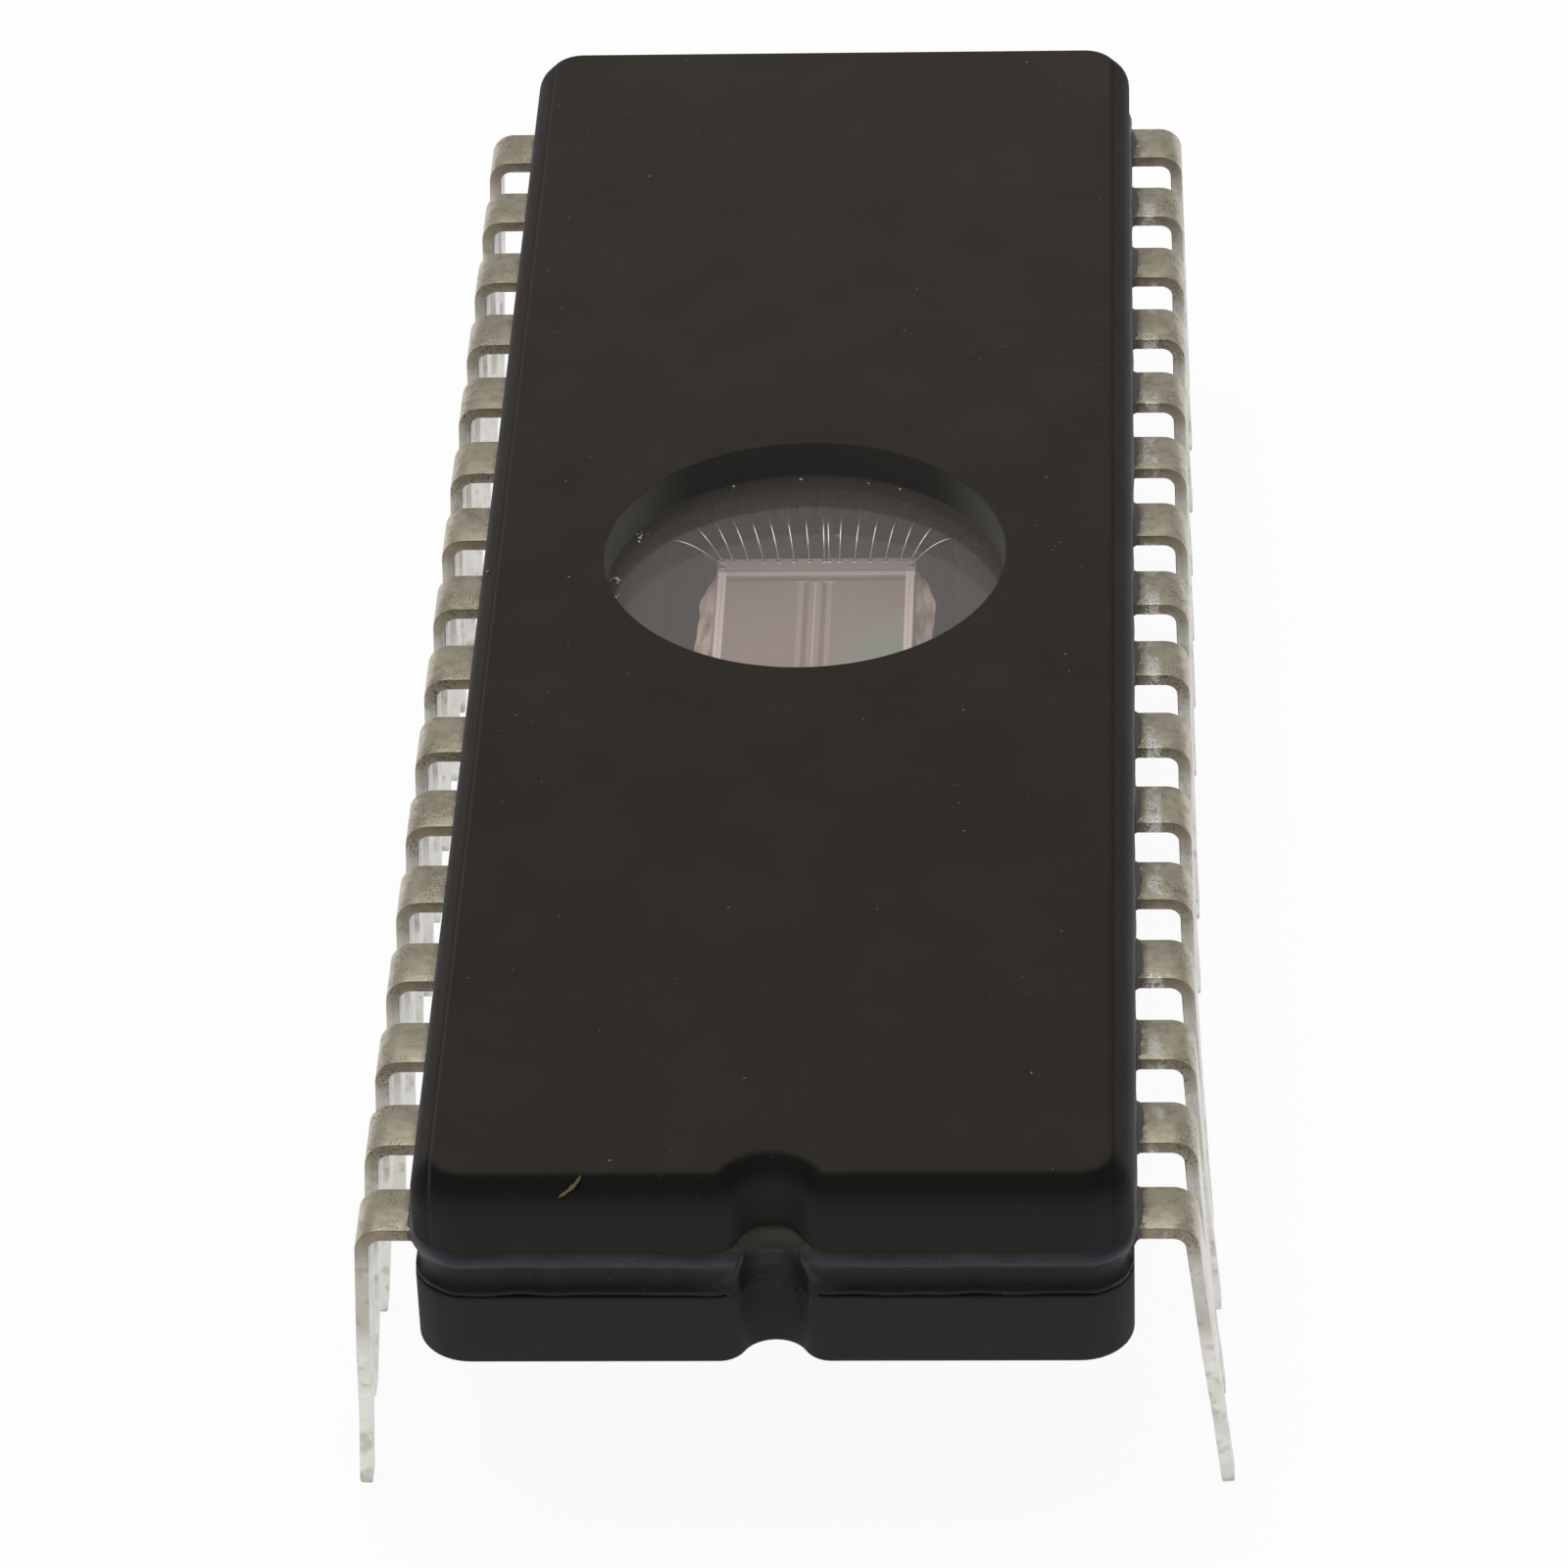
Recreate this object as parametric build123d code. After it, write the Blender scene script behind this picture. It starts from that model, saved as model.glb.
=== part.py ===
from build123d import *
import math
import os

# Windowed ceramic memory chip: a dual in-line package with two rows of formed leads.
# Millimetres. +Z up, the chip stands on its lead tips at Z = 0.
# X = 0 and Y = 0 are the centre of the ceramic body. The end notch faces -Y.

# Ceramic body
END_MARGIN = 1.60
BODY_WIDTH = 13.20
BODY_CORNER_RADIUS = 1.00
CAP_THICKNESS = 1.55
CAP_BEVEL_DROP = 0.50
CAP_BEVEL_INSET = 0.40
BASE_THICKNESS = 1.55
BASE_EDGE_BEVEL = 0.12
NOTCH_RADIUS = 0.62
NOTCH_MOUTH_EASE = 0.15

# Window and its recess in the cap
WINDOW_DIAMETER = 8.12
WINDOW_RECESS = 0.82

# Lead frame, outside the body
LEADS_PER_ROW = 16
LEAD_PITCH = 2.54
LEAD_ROW_SHIFT = 0.45
LEAD_THICKNESS = 0.25
SHOULDER_WIDTH = 1.24
SHOULDER_LENGTH = 1.15
BEND_INNER_RADIUS = 0.25
STANDOFF = 0.90
LEG_BELOW_SEAT = 3.60
LEG_WIDTH = 0.46
TAPER_LENGTH = 1.90
SPLAY_LEFT = 2.90
SPLAY_RIGHT = 2.10

# Leads next to the notch that have been pushed further out, counted from the notch
NEAR_SPLAYS_LEFT = (2.90, 4.10, 3.90)
NEAR_SPLAYS_RIGHT = (6.40, 5.60, 4.90, 3.60, 2.80)

# Lead frame, inside the body: each trace runs from its root to a knee and on to a finger tip
BLADE_EMBED = 1.20
TRACE_WIDTH = 0.36
FINGER_WIDTH = 0.22
FINGER_SETBACK = 0.12
FINGER_FIRST = 0.20
FINGER_PITCH = 0.42
KNEE_FIRST = 0.35
KNEE_PITCH = 0.60

# The two traces next to the die in each quarter, measured from the die cavity's corner
CORNER_TIP = (-0.20, 0.08)
CORNER_KNEE = 1.20
SIDE_TIP = (0.12, -0.75)
SIDE_KNEE = 1.35

# Seal glass
GLASS_OVER_LEADS = 0.55
GLASS_UNDER_LEADS = 0.20
SEAL_VALLEY = 0.10
CAP_BEAD_BULGE = 0.07
CAP_BEAD_BELOW = 0.34
CAP_BEAD_LAP = 0.12
CAP_BEAD_BEVEL = 0.17
BASE_BEAD_HEIGHT = 0.17
NOTCH_FILL = 0.30
SEAL_MOUTH_RADIUS = 0.24
MENISCUS_REACH = 0.18
MENISCUS_SPREAD = 0.17
MENISCUS_LIP = 0.02

# Die, its cavity in the base and the wider opening in the glass above it
DIE_WIDTH = 4.10
DIE_LENGTH = 5.40
DIE_THICKNESS = 0.50
DIE_OFFSET_X = 0.11
CAVITY_SIDE_GAP = 0.945
CAVITY_END_GAP = 1.05
CAVITY_DEPTH = 0.35
CAVITY_CORNER_RADIUS = 0.30
BOND_SHELF_SIDE = 1.30
BOND_SHELF_END = 1.50
ATTACH_FILM = 0.03
ATTACH_HEIGHT = 0.20
ATTACH_SPREAD = 0.45
ATTACH_LAP = 0.06
ATTACH_CORNER_RADIUS = 0.45

# Bond wires, which run from pads along the die's ends to the finger tips
WIRE_THICKNESS = 0.034
WIRE_LOOP = 0.30
WIRE_CREST_START = 0.28
WIRE_CREST_END = 0.62
WIRE_FOOT_LENGTH = 0.12
WIRE_FOOT_INSET = 0.22
PAD_FIRST = 0.155
PAD_PITCH = 0.315
PAD_MARGIN = 0.10
CORNER_PAD_STEP = 0.22
TWIN_WIRE_STEP = 0.10

# Sizes and heights that follow
body_length = (LEADS_PER_ROW - 1) * LEAD_PITCH + 2 * END_MARGIN
half_width = BODY_WIDTH / 2
half_length = body_length / 2
ranks = LEADS_PER_ROW // 2
base_bottom = LEG_BELOW_SEAT + STANDOFF
base_top = base_bottom + BASE_THICKNESS
lead_bottom = base_top + GLASS_UNDER_LEADS
lead_top = lead_bottom + LEAD_THICKNESS
cap_bottom = lead_top + GLASS_OVER_LEADS
cap_top = cap_bottom + CAP_THICKNESS
window_top = cap_top - WINDOW_RECESS
cavity_floor = base_top - CAVITY_DEPTH
cavity_width = DIE_WIDTH + 2 * CAVITY_SIDE_GAP
cavity_length = DIE_LENGTH + 2 * CAVITY_END_GAP
die_bottom = cavity_floor + ATTACH_FILM
die_top = die_bottom + DIE_THICKNESS
lead_ys = [LEAD_ROW_SHIFT + (i - (LEADS_PER_ROW - 1) / 2) * LEAD_PITCH for i in range(LEADS_PER_ROW)]


def slab(plan, low, high):
    """A plan shape made solid between two heights."""
    return extrude(Pos(0, 0, low) * plan, amount=high - low)


def notched_plan(grow, notch_fill, mouth_radius):
    """Plan of the body: a rounded rectangle with a half-round notch at the -Y end."""
    width = BODY_WIDTH + 2 * grow
    length = body_length + 2 * grow
    plan = RectangleRounded(width, length, BODY_CORNER_RADIUS + grow)
    plan -= Pos(0, -(half_length + notch_fill)) * Circle(NOTCH_RADIUS - grow)
    mouth = plan.vertices().group_by(Axis.Y)[0].sort_by(lambda v: abs(v.X))[:2]
    return fillet(mouth, mouth_radius)


def ceramic_plan():
    """Plan of the cap and of the base."""
    return notched_plan(0, 0, CAP_BEVEL_INSET + NOTCH_MOUTH_EASE)


def cavity_plan():
    """Plan of the cavity that the die sits in."""
    return RectangleRounded(cavity_width, cavity_length, CAVITY_CORNER_RADIUS)


def ceramic_cap():
    """Pressed cap: straight wall, bevelled crown and a through hole for the window."""
    block = slab(ceramic_plan(), cap_bottom, cap_top)
    top = block.faces().sort_by(Axis.Z)[-1]
    block = chamfer(top.edges(), CAP_BEVEL_INSET, CAP_BEVEL_DROP, reference=top)
    return block - slab(Circle(WINDOW_DIAMETER / 2), cap_bottom, cap_top)


def ceramic_base():
    """Pressed base: straight wall, small bevel round the underside and a shallow cavity for the die."""
    block = slab(ceramic_plan(), base_bottom, base_top)
    block = chamfer(block.edges().group_by(Axis.Z)[0], BASE_EDGE_BEVEL)
    return block - slab(cavity_plan(), cavity_floor, base_top)


def quartz_window():
    """Clear round window that fills the cap's hole below the recess."""
    return slab(Circle(WINDOW_DIAMETER / 2), cap_bottom, window_top)


def formed_blade(splay):
    """One lead from its root in the glass to its tip, on the +X side: shoulder, bend, blade, taper, leg."""
    lean = math.radians(splay)
    root_x = half_width - BLADE_EMBED
    outer_x = half_width + SHOULDER_LENGTH
    inner_x = outer_x - LEAD_THICKNESS * (1 - math.sin(lean)) / math.cos(lean)
    reach = lead_top * math.tan(lean)
    outer_skin = FilletPolyline(
        (root_x, lead_top),
        (outer_x, lead_top),
        (outer_x + reach, 0),
        radius=BEND_INNER_RADIUS + LEAD_THICKNESS,
    )
    inner_skin = FilletPolyline(
        (root_x, lead_bottom),
        (inner_x, lead_bottom),
        (inner_x + lead_bottom * math.tan(lean), 0),
        radius=BEND_INNER_RADIUS,
    )
    ends = Line(outer_skin @ 0, inner_skin @ 0) + Line(outer_skin @ 1, inner_skin @ 1)
    profile = make_face(outer_skin + inner_skin + ends)
    strip = extrude(Plane.XZ * profile, amount=SHOULDER_WIDTH / 2, both=True)

    seat = base_bottom - STANDOFF
    wide = SHOULDER_WIDTH / 2
    narrow = LEG_WIDTH / 2
    half = [(wide, lead_top), (wide, seat), (narrow, seat - TAPER_LENGTH), (narrow, 0)]
    other_half = [(-y, z) for y, z in reversed(half)]
    front = make_face(Polyline(*half, *other_half, close=True))
    return strip & extrude(Plane.YZ * front, amount=outer_x + reach)


def ribbon(points, widths):
    """A flat trace through points, as wide at each as given, with mitred turns."""
    left = []
    right = []
    for i, point in enumerate(points):
        before = points[max(i - 1, 0)]
        after = points[min(i + 1, len(points) - 1)]
        arriving = (point - before).normalized() if i > 0 else (after - point).normalized()
        leaving = (after - point).normalized() if i < len(points) - 1 else arriving
        across = (arriving + leaving).normalized().rotate(Axis.Z, 90)
        mitre = math.cos(math.radians(arriving.get_angle(leaving) / 2))
        left.append(point + across * (widths[i] / 2 / mitre))
        right.append(point - across * (widths[i] / 2 / mitre))
    return make_face(Polyline(*left, *reversed(right), close=True))


def trace_points(rank, root_y):
    """Root, knee and finger tip of one trace, in the +X +Y quarter.

    Rank 0 is the lead furthest from the die, and its finger ends nearest the centre line."""
    corner = Vector(cavity_width / 2, cavity_length / 2)
    root = Vector(half_width - BLADE_EMBED, root_y)
    if rank == ranks - 1:
        return [root, Vector(corner.X + SIDE_KNEE, root_y), corner + Vector(*SIDE_TIP)]
    if rank == ranks - 2:
        return [root, Vector(corner.X + CORNER_KNEE, root_y), corner + Vector(*CORNER_TIP)]
    knee = Vector(KNEE_FIRST + KNEE_PITCH * rank, root_y)
    tip = Vector(FINGER_FIRST + FINGER_PITCH * rank, corner.Y + FINGER_SETBACK)
    return [root, knee, tip]


def placed_trace(row_x, index):
    """Trace points of one lead in the body's frame. Index 0 is the lead next to the notch."""
    end_y = -1 if index < ranks else 1
    rank = min(index, LEADS_PER_ROW - 1 - index)
    points = trace_points(rank, abs(lead_ys[index]))
    return [Vector(row_x * p.X, end_y * p.Y) for p in points]


def lead(row_x, index, blade):
    """One whole lead: a formed blade and its flat inner trace, cut from one piece of strip."""
    root, knee, tip = placed_trace(row_x, index)
    start = root + (root - knee).normalized() * TRACE_WIDTH
    trace = ribbon([start, knee, tip], [TRACE_WIDTH, TRACE_WIDTH, FINGER_WIDTH])
    return Pos(0, lead_ys[index], 0) * blade + slab(trace, lead_bottom, lead_top)


def lead_row(row_x, near_splays, splay):
    """All the leads of one row, from the notch end. Each has its own lean next to the notch."""
    leads = []
    for index in range(LEADS_PER_ROW):
        blade = formed_blade(near_splays[index] if index < len(near_splays) else splay)
        if row_x < 0:
            blade = mirror(blade, about=Plane.YZ)
        leads.append(lead(row_x, index, blade))
    return leads


def meniscus(row_x, lead_y):
    """Collar of glass that creeps out along one lead where it leaves the body."""
    wall_x = half_width - SEAL_VALLEY - MENISCUS_LIP
    width = SHOULDER_WIDTH + 2 * MENISCUS_SPREAD
    height = LEAD_THICKNESS + 2 * MENISCUS_SPREAD
    reach = SEAL_VALLEY + MENISCUS_LIP + MENISCUS_REACH
    inset = MENISCUS_SPREAD - MENISCUS_LIP
    collar = Wedge(width, reach, height, inset, inset, width - inset, height - inset)
    spot = Pos(row_x * (wall_x + reach / 2), lead_y, (lead_top + lead_bottom) / 2)
    return spot * Rot(0, 0, -90 * row_x) * collar


def seal_glass(leads, cap):
    """Glass frame that joins cap to base and holds the leads, with a bead under each ceramic edge."""
    bead = slab(
        notched_plan(CAP_BEAD_BULGE, NOTCH_FILL, SEAL_MOUTH_RADIUS),
        cap_bottom - CAP_BEAD_BELOW,
        cap_bottom + CAP_BEAD_LAP,
    )
    bead = chamfer(bead.edges().group_by(Axis.Z)[0], CAP_BEAD_BEVEL)
    foot = slab(notched_plan(0, NOTCH_FILL, SEAL_MOUTH_RADIUS), base_top, base_top + BASE_BEAD_HEIGHT)
    glass = slab(notched_plan(-SEAL_VALLEY, NOTCH_FILL, SEAL_MOUTH_RADIUS), base_top, cap_bottom)
    collars = [meniscus(row_x, lead_y) for row_x in (1, -1) for lead_y in lead_ys]
    glass = glass.fuse(bead, foot, *collars)
    shelf = Rectangle(cavity_width + 2 * BOND_SHELF_SIDE, cavity_length + 2 * BOND_SHELF_END)
    opening = slab(cavity_plan(), base_top, lead_bottom) + slab(shelf, lead_bottom, cap_bottom)
    window = slab(Circle(WINDOW_DIAMETER / 2), cap_bottom, cap_top)
    return glass.cut(opening, cap, window, *leads)


def die():
    """Silicon die."""
    return slab(Pos(DIE_OFFSET_X, 0) * Rectangle(DIE_WIDTH, DIE_LENGTH), die_bottom, die_top)


def die_attach():
    """Glass pad under the die, with a sloping fillet that laps up the die's sides."""
    foot = RectangleRounded(
        DIE_WIDTH + 2 * ATTACH_SPREAD, DIE_LENGTH + 2 * ATTACH_SPREAD, ATTACH_CORNER_RADIUS
    )
    slope = math.degrees(math.atan2(ATTACH_SPREAD - ATTACH_LAP, ATTACH_HEIGHT))
    pad = extrude(Pos(DIE_OFFSET_X, 0, cavity_floor) * foot, amount=ATTACH_HEIGHT, taper=slope)
    return pad - die()


def bond_wire(pad, finger):
    """One loop: a flat foot on the pad, a rise, a crest, a fall and a flat foot on the finger."""
    along = Vector(finger.X - pad.X, finger.Y - pad.Y)
    span = along.length
    foot = WIRE_FOOT_LENGTH / 2
    low = WIRE_THICKNESS / 2
    high = finger.Z - pad.Z + low
    points = [
        Vector(-foot, low),
        Vector(foot, low),
        Vector(span * WIRE_CREST_START, high + WIRE_LOOP),
        Vector(span * WIRE_CREST_END, high + WIRE_LOOP),
        Vector(span - foot, high),
        Vector(span + foot, high),
    ]
    upright = Plane(pad, x_dir=along, z_dir=along.cross(Vector(0, 0, 1)))
    loop = upright * ribbon(points, [WIRE_THICKNESS] * len(points))
    return extrude(loop, amount=WIRE_THICKNESS / 2, both=True)


def bond_wires(end_y, twin):
    """The fan of loops at one end of the die, one to each finger. A twin shares the middle finger."""
    near_half = range(ranks) if end_y < 0 else range(ranks, LEADS_PER_ROW)
    pad_limit = DIE_WIDTH / 2 - PAD_MARGIN
    wires = []
    for row_x in (-1, 1):
        for index in near_half:
            rank = min(index, LEADS_PER_ROW - 1 - index)
            knee, tip = placed_trace(row_x, index)[1:]
            finger = tip + (knee - tip).normalized() * WIRE_FOOT_INSET + Vector(0, 0, lead_top)
            pad_x = min(PAD_FIRST + PAD_PITCH * rank, pad_limit)
            pad_y = DIE_LENGTH / 2 - PAD_MARGIN - (CORNER_PAD_STEP if rank == ranks - 1 else 0)
            pad = Vector(DIE_OFFSET_X + row_x * pad_x, end_y * pad_y, die_top)
            wires.append(bond_wire(pad, finger))
            if twin and rank == 0 and row_x > 0:
                step = Vector(TWIN_WIRE_STEP, 0)
                wires.append(bond_wire(pad + step, finger + step))
    return Compound(children=wires)


def save(shape, name, colour):
    """Write one named node."""
    shape.label = name
    shape.color = Color(*colour)
    export_step(shape, f"parts/{name}.step")


def main():
    os.makedirs("parts", exist_ok=True)
    # Leads are numbered round the body from the notch: up the +X row, then back down the -X row.
    leads = lead_row(1, NEAR_SPLAYS_RIGHT, SPLAY_RIGHT)
    leads += reversed(lead_row(-1, NEAR_SPLAYS_LEFT, SPLAY_LEFT))
    cap = ceramic_cap()
    save(cap, "ceramic_cap", (0.05, 0.045, 0.04))
    save(ceramic_base(), "ceramic_base", (0.05, 0.05, 0.05))
    save(quartz_window(), "quartz_window", (0.75, 0.75, 0.80, 0.4))
    save(seal_glass(leads, cap), "seal_glass", (0.06, 0.06, 0.09))
    save(die(), "die", (0.55, 0.50, 0.52))
    save(die_attach(), "die_attach", (0.35, 0.30, 0.24))
    save(bond_wires(1, True), "far_bond_wires", (0.85, 0.85, 0.86))
    save(bond_wires(-1, False), "near_bond_wires", (0.85, 0.85, 0.86))
    for number, shape in enumerate(leads, start=1):
        save(shape, f"lead_{number:02d}", (0.68, 0.66, 0.60))


main()
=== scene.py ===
"""Windowed ceramic memory chip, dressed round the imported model.

Sizes and worked-out points are millimetres in the row's frame: +Z up, the lead tips at Z = 0 and the
end notch towards -Y. Meshes are written in metres.
"""

import logging
import math
from dataclasses import dataclass, field
from enum import Enum
from typing import Any, Sequence

import bmesh
import bpy
import numpy as np
from mathutils import Matrix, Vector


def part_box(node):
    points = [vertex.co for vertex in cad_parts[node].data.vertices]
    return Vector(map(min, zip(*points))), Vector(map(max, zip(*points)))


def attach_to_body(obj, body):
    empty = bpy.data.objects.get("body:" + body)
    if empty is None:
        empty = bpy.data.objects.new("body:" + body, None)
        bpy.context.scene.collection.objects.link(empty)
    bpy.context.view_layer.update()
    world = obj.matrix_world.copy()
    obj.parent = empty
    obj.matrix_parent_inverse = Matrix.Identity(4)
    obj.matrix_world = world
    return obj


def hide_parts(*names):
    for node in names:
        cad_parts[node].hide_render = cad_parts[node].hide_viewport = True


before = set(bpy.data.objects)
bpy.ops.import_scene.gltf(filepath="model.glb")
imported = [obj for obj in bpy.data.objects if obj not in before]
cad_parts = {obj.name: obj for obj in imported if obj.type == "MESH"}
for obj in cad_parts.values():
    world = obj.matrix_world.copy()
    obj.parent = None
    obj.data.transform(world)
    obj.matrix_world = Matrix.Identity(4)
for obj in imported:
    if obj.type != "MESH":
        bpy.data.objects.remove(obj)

log = logging.getLogger("chip")

# Metres in a millimetre, and the distance in metres under which two points are one.
MM = 0.001
SAME_POINT = 1e-8
Colour = tuple[float, float, float]
Point = tuple[float, float, float]
Pair = tuple[float, float]
Socket = bpy.types.NodeSocket


class Side(Enum):
    """The two rows of leads, by the sign of their X."""

    LEFT = -1
    RIGHT = 1


class End(Enum):
    """The two ends of the die, by the sign of their Y. The notch is at the near one."""

    NEAR = -1
    FAR = 1


class Signal:
    """A number socket in a node tree. Python's operators on it add Math nodes."""

    def __init__(self, board: "Board", socket: Socket) -> None:
        """Keep the socket and the board that it is on."""
        self.board = board
        self.socket = socket

    def math(self, operation: str, *values: "Signal | float") -> "Signal":
        """Add one Math node.

        Args:
            operation: what the node works out.
            values: its inputs, in their order.

        Returns:
            The node's result.
        """
        node = self.board.node("ShaderNodeMath", {"operation": operation}, dict(enumerate(values)))
        return Signal(self.board, node.outputs[0])

    def __add__(self, other: "Signal | float") -> "Signal":
        """This plus other."""
        return self.math("ADD", self, other)

    def __radd__(self, other: float) -> "Signal":
        """Other plus this."""
        return self.math("ADD", other, self)

    def __sub__(self, other: "Signal | float") -> "Signal":
        """This less other."""
        return self.math("SUBTRACT", self, other)

    def __rsub__(self, other: float) -> "Signal":
        """Other less this."""
        return self.math("SUBTRACT", other, self)

    def __mul__(self, other: "Signal | float") -> "Signal":
        """This times other."""
        return self.math("MULTIPLY", self, other)

    def __rmul__(self, other: float) -> "Signal":
        """Other times this."""
        return self.math("MULTIPLY", other, self)

    def __abs__(self) -> "Signal":
        """This without its sign."""
        return self.math("ABSOLUTE", self)

    def fraction(self) -> "Signal":
        """What is left of this above the whole number under it."""
        return self.math("FRACT", self)

    def top(self, other: "Signal | float") -> "Signal":
        """The larger of this and other."""
        return self.math("MAXIMUM", self, other)

    def rise(self, low: float, high: float) -> "Signal":
        """A smooth step from 0 at low to 1 at high. With low above high it falls from 1 to 0.

        Args:
            low: where the step starts.
            high: where the step ends.

        Returns:
            The step, from 0 to 1.
        """
        first, last = min(low, high), max(low, high)
        ends = (0.0, 1.0) if low < high else (1.0, 0.0)
        node = self.board.node(
            "ShaderNodeMapRange",
            {"interpolation_type": "SMOOTHSTEP"},
            {"Value": self, "From Min": first, "From Max": last, "To Min": ends[0], "To Max": ends[1]},
        )
        return Signal(self.board, node.outputs[0])

    def above(self, level: float, heights: Pair) -> "Signal":
        """A smooth step between two heights above a level."""
        return self.rise(level + heights[0], level + heights[1])

    def below(self, level: float, drops: Pair) -> "Signal":
        """A smooth step between two drops below a level."""
        return self.rise(level - drops[0], level - drops[1])

    def near(self, centre: float, half: float, soft: float) -> "Signal":
        """1 within half of centre, fading to 0 over soft."""
        return abs(self - centre).rise(half + soft, half)


class Board:
    """A node tree, with one method that adds any node."""

    def __init__(self, tree: bpy.types.NodeTree) -> None:
        """Start on an emptied tree."""
        self.tree = tree
        tree.nodes.clear()

    def node(
        self,
        kind: str,
        settings: dict[str, Any] | None = None,
        inputs: dict[str | int, Any] | None = None,
    ) -> bpy.types.Node:
        """Add a node.

        Args:
            kind: the node's type.
            settings: its properties, set first.
            inputs: values, Signals or sockets for its inputs, by name or number.

        Returns:
            The new node.
        """
        made = self.tree.nodes.new(kind)
        for key, value in (settings or {}).items():
            setattr(made, key, value)
        for key, value in (inputs or {}).items():
            target = made.inputs[key]
            if isinstance(value, Signal):
                self.tree.links.new(value.socket, target)
            elif isinstance(value, Socket):
                self.tree.links.new(value, target)
            elif target.type == "RGBA":
                target.default_value = (*value, 1.0)
            else:
                target.default_value = value
        return made

    def place(self) -> Socket:
        """The point on the surface, in millimetres of the row's frame."""
        inputs = {0: self.node("ShaderNodeTexCoord").outputs["Object"], "Scale": 1 / MM}
        return self.node("ShaderNodeVectorMath", {"operation": "SCALE"}, inputs).outputs[0]

    def axes(self, point: Socket) -> tuple[Signal, Signal, Signal]:
        """The three coordinates of a point."""
        split = self.node("ShaderNodeSeparateXYZ", None, {0: point})
        return tuple(Signal(self, output) for output in split.outputs)

    def stretched(self, point: Socket, scale: Point) -> Socket:
        """A point with each coordinate multiplied, for a pattern that runs one way."""
        return self.node("ShaderNodeVectorMath", {"operation": "MULTIPLY"}, {0: point, 1: scale}).outputs[0]

    def noise(self, point: Socket, per_mm: float, detail: float) -> Signal:
        """Soft noise about 0.5.

        Args:
            point: where to read it, in millimetres.
            per_mm: how many lumps there are in a millimetre.
            detail: how many finer layers it has.

        Returns:
            The noise, from 0 to 1.
        """
        made = self.node("ShaderNodeTexNoise", None, {"Vector": point, "Scale": per_mm, "Detail": detail})
        return Signal(self, made.outputs[0])

    def blend(self, share: "Signal | float", first: Any, second: Any) -> Socket:
        """Mix two colours.

        Args:
            share: how much of the second there is, from 0 to 1.
            first: a colour or a colour socket.
            second: a colour or a colour socket.

        Returns:
            The mixed colour's socket.
        """
        made = self.node("ShaderNodeMix", {"data_type": "RGBA"}, {0: share, 6: first, 7: second})
        return made.outputs[2]

    def mixed(self, share: "Signal | Socket", first: Socket, second: Socket) -> Socket:
        """A shader with a share of the second and the rest of the first."""
        return self.node("ShaderNodeMixShader", None, {0: share, 1: first, 2: second}).outputs[0]

    def shaded(self, look: dict[str, Any]) -> Socket:
        """The main shader with the values or links of its sockets."""
        return self.node("ShaderNodeBsdfPrincipled", None, look).outputs[0]

    def bump(self, height: Signal, depth: float) -> Socket:
        """A normal tilted by a height that is depth millimetres deep from 0 to 1."""
        made = self.node("ShaderNodeBump", None, {"Height": height, "Distance": depth * MM, "Strength": 1.0})
        return made.outputs[0]

    def finish(self, surface: Socket) -> None:
        """Join a surface to the material's output."""
        self.node("ShaderNodeOutputMaterial", None, {"Surface": surface})


class Finish:
    """What every finish shares. A finish has a name and says how its surface is made."""

    name = "plain"

    def surface(self, board: Board) -> Socket:
        """Build the nodes and return the shader's socket."""
        raise NotImplementedError

    def material(self) -> bpy.types.Material:
        """The finish's material, made the first time that it is asked for.

        Returns:
            The material.
        """
        made = bpy.data.materials.get(self.name)
        if made is None:
            made = bpy.data.materials.new(self.name)
            made.use_nodes = True
            board = Board(made.node_tree)
            board.finish(self.surface(board))
        return made


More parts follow.
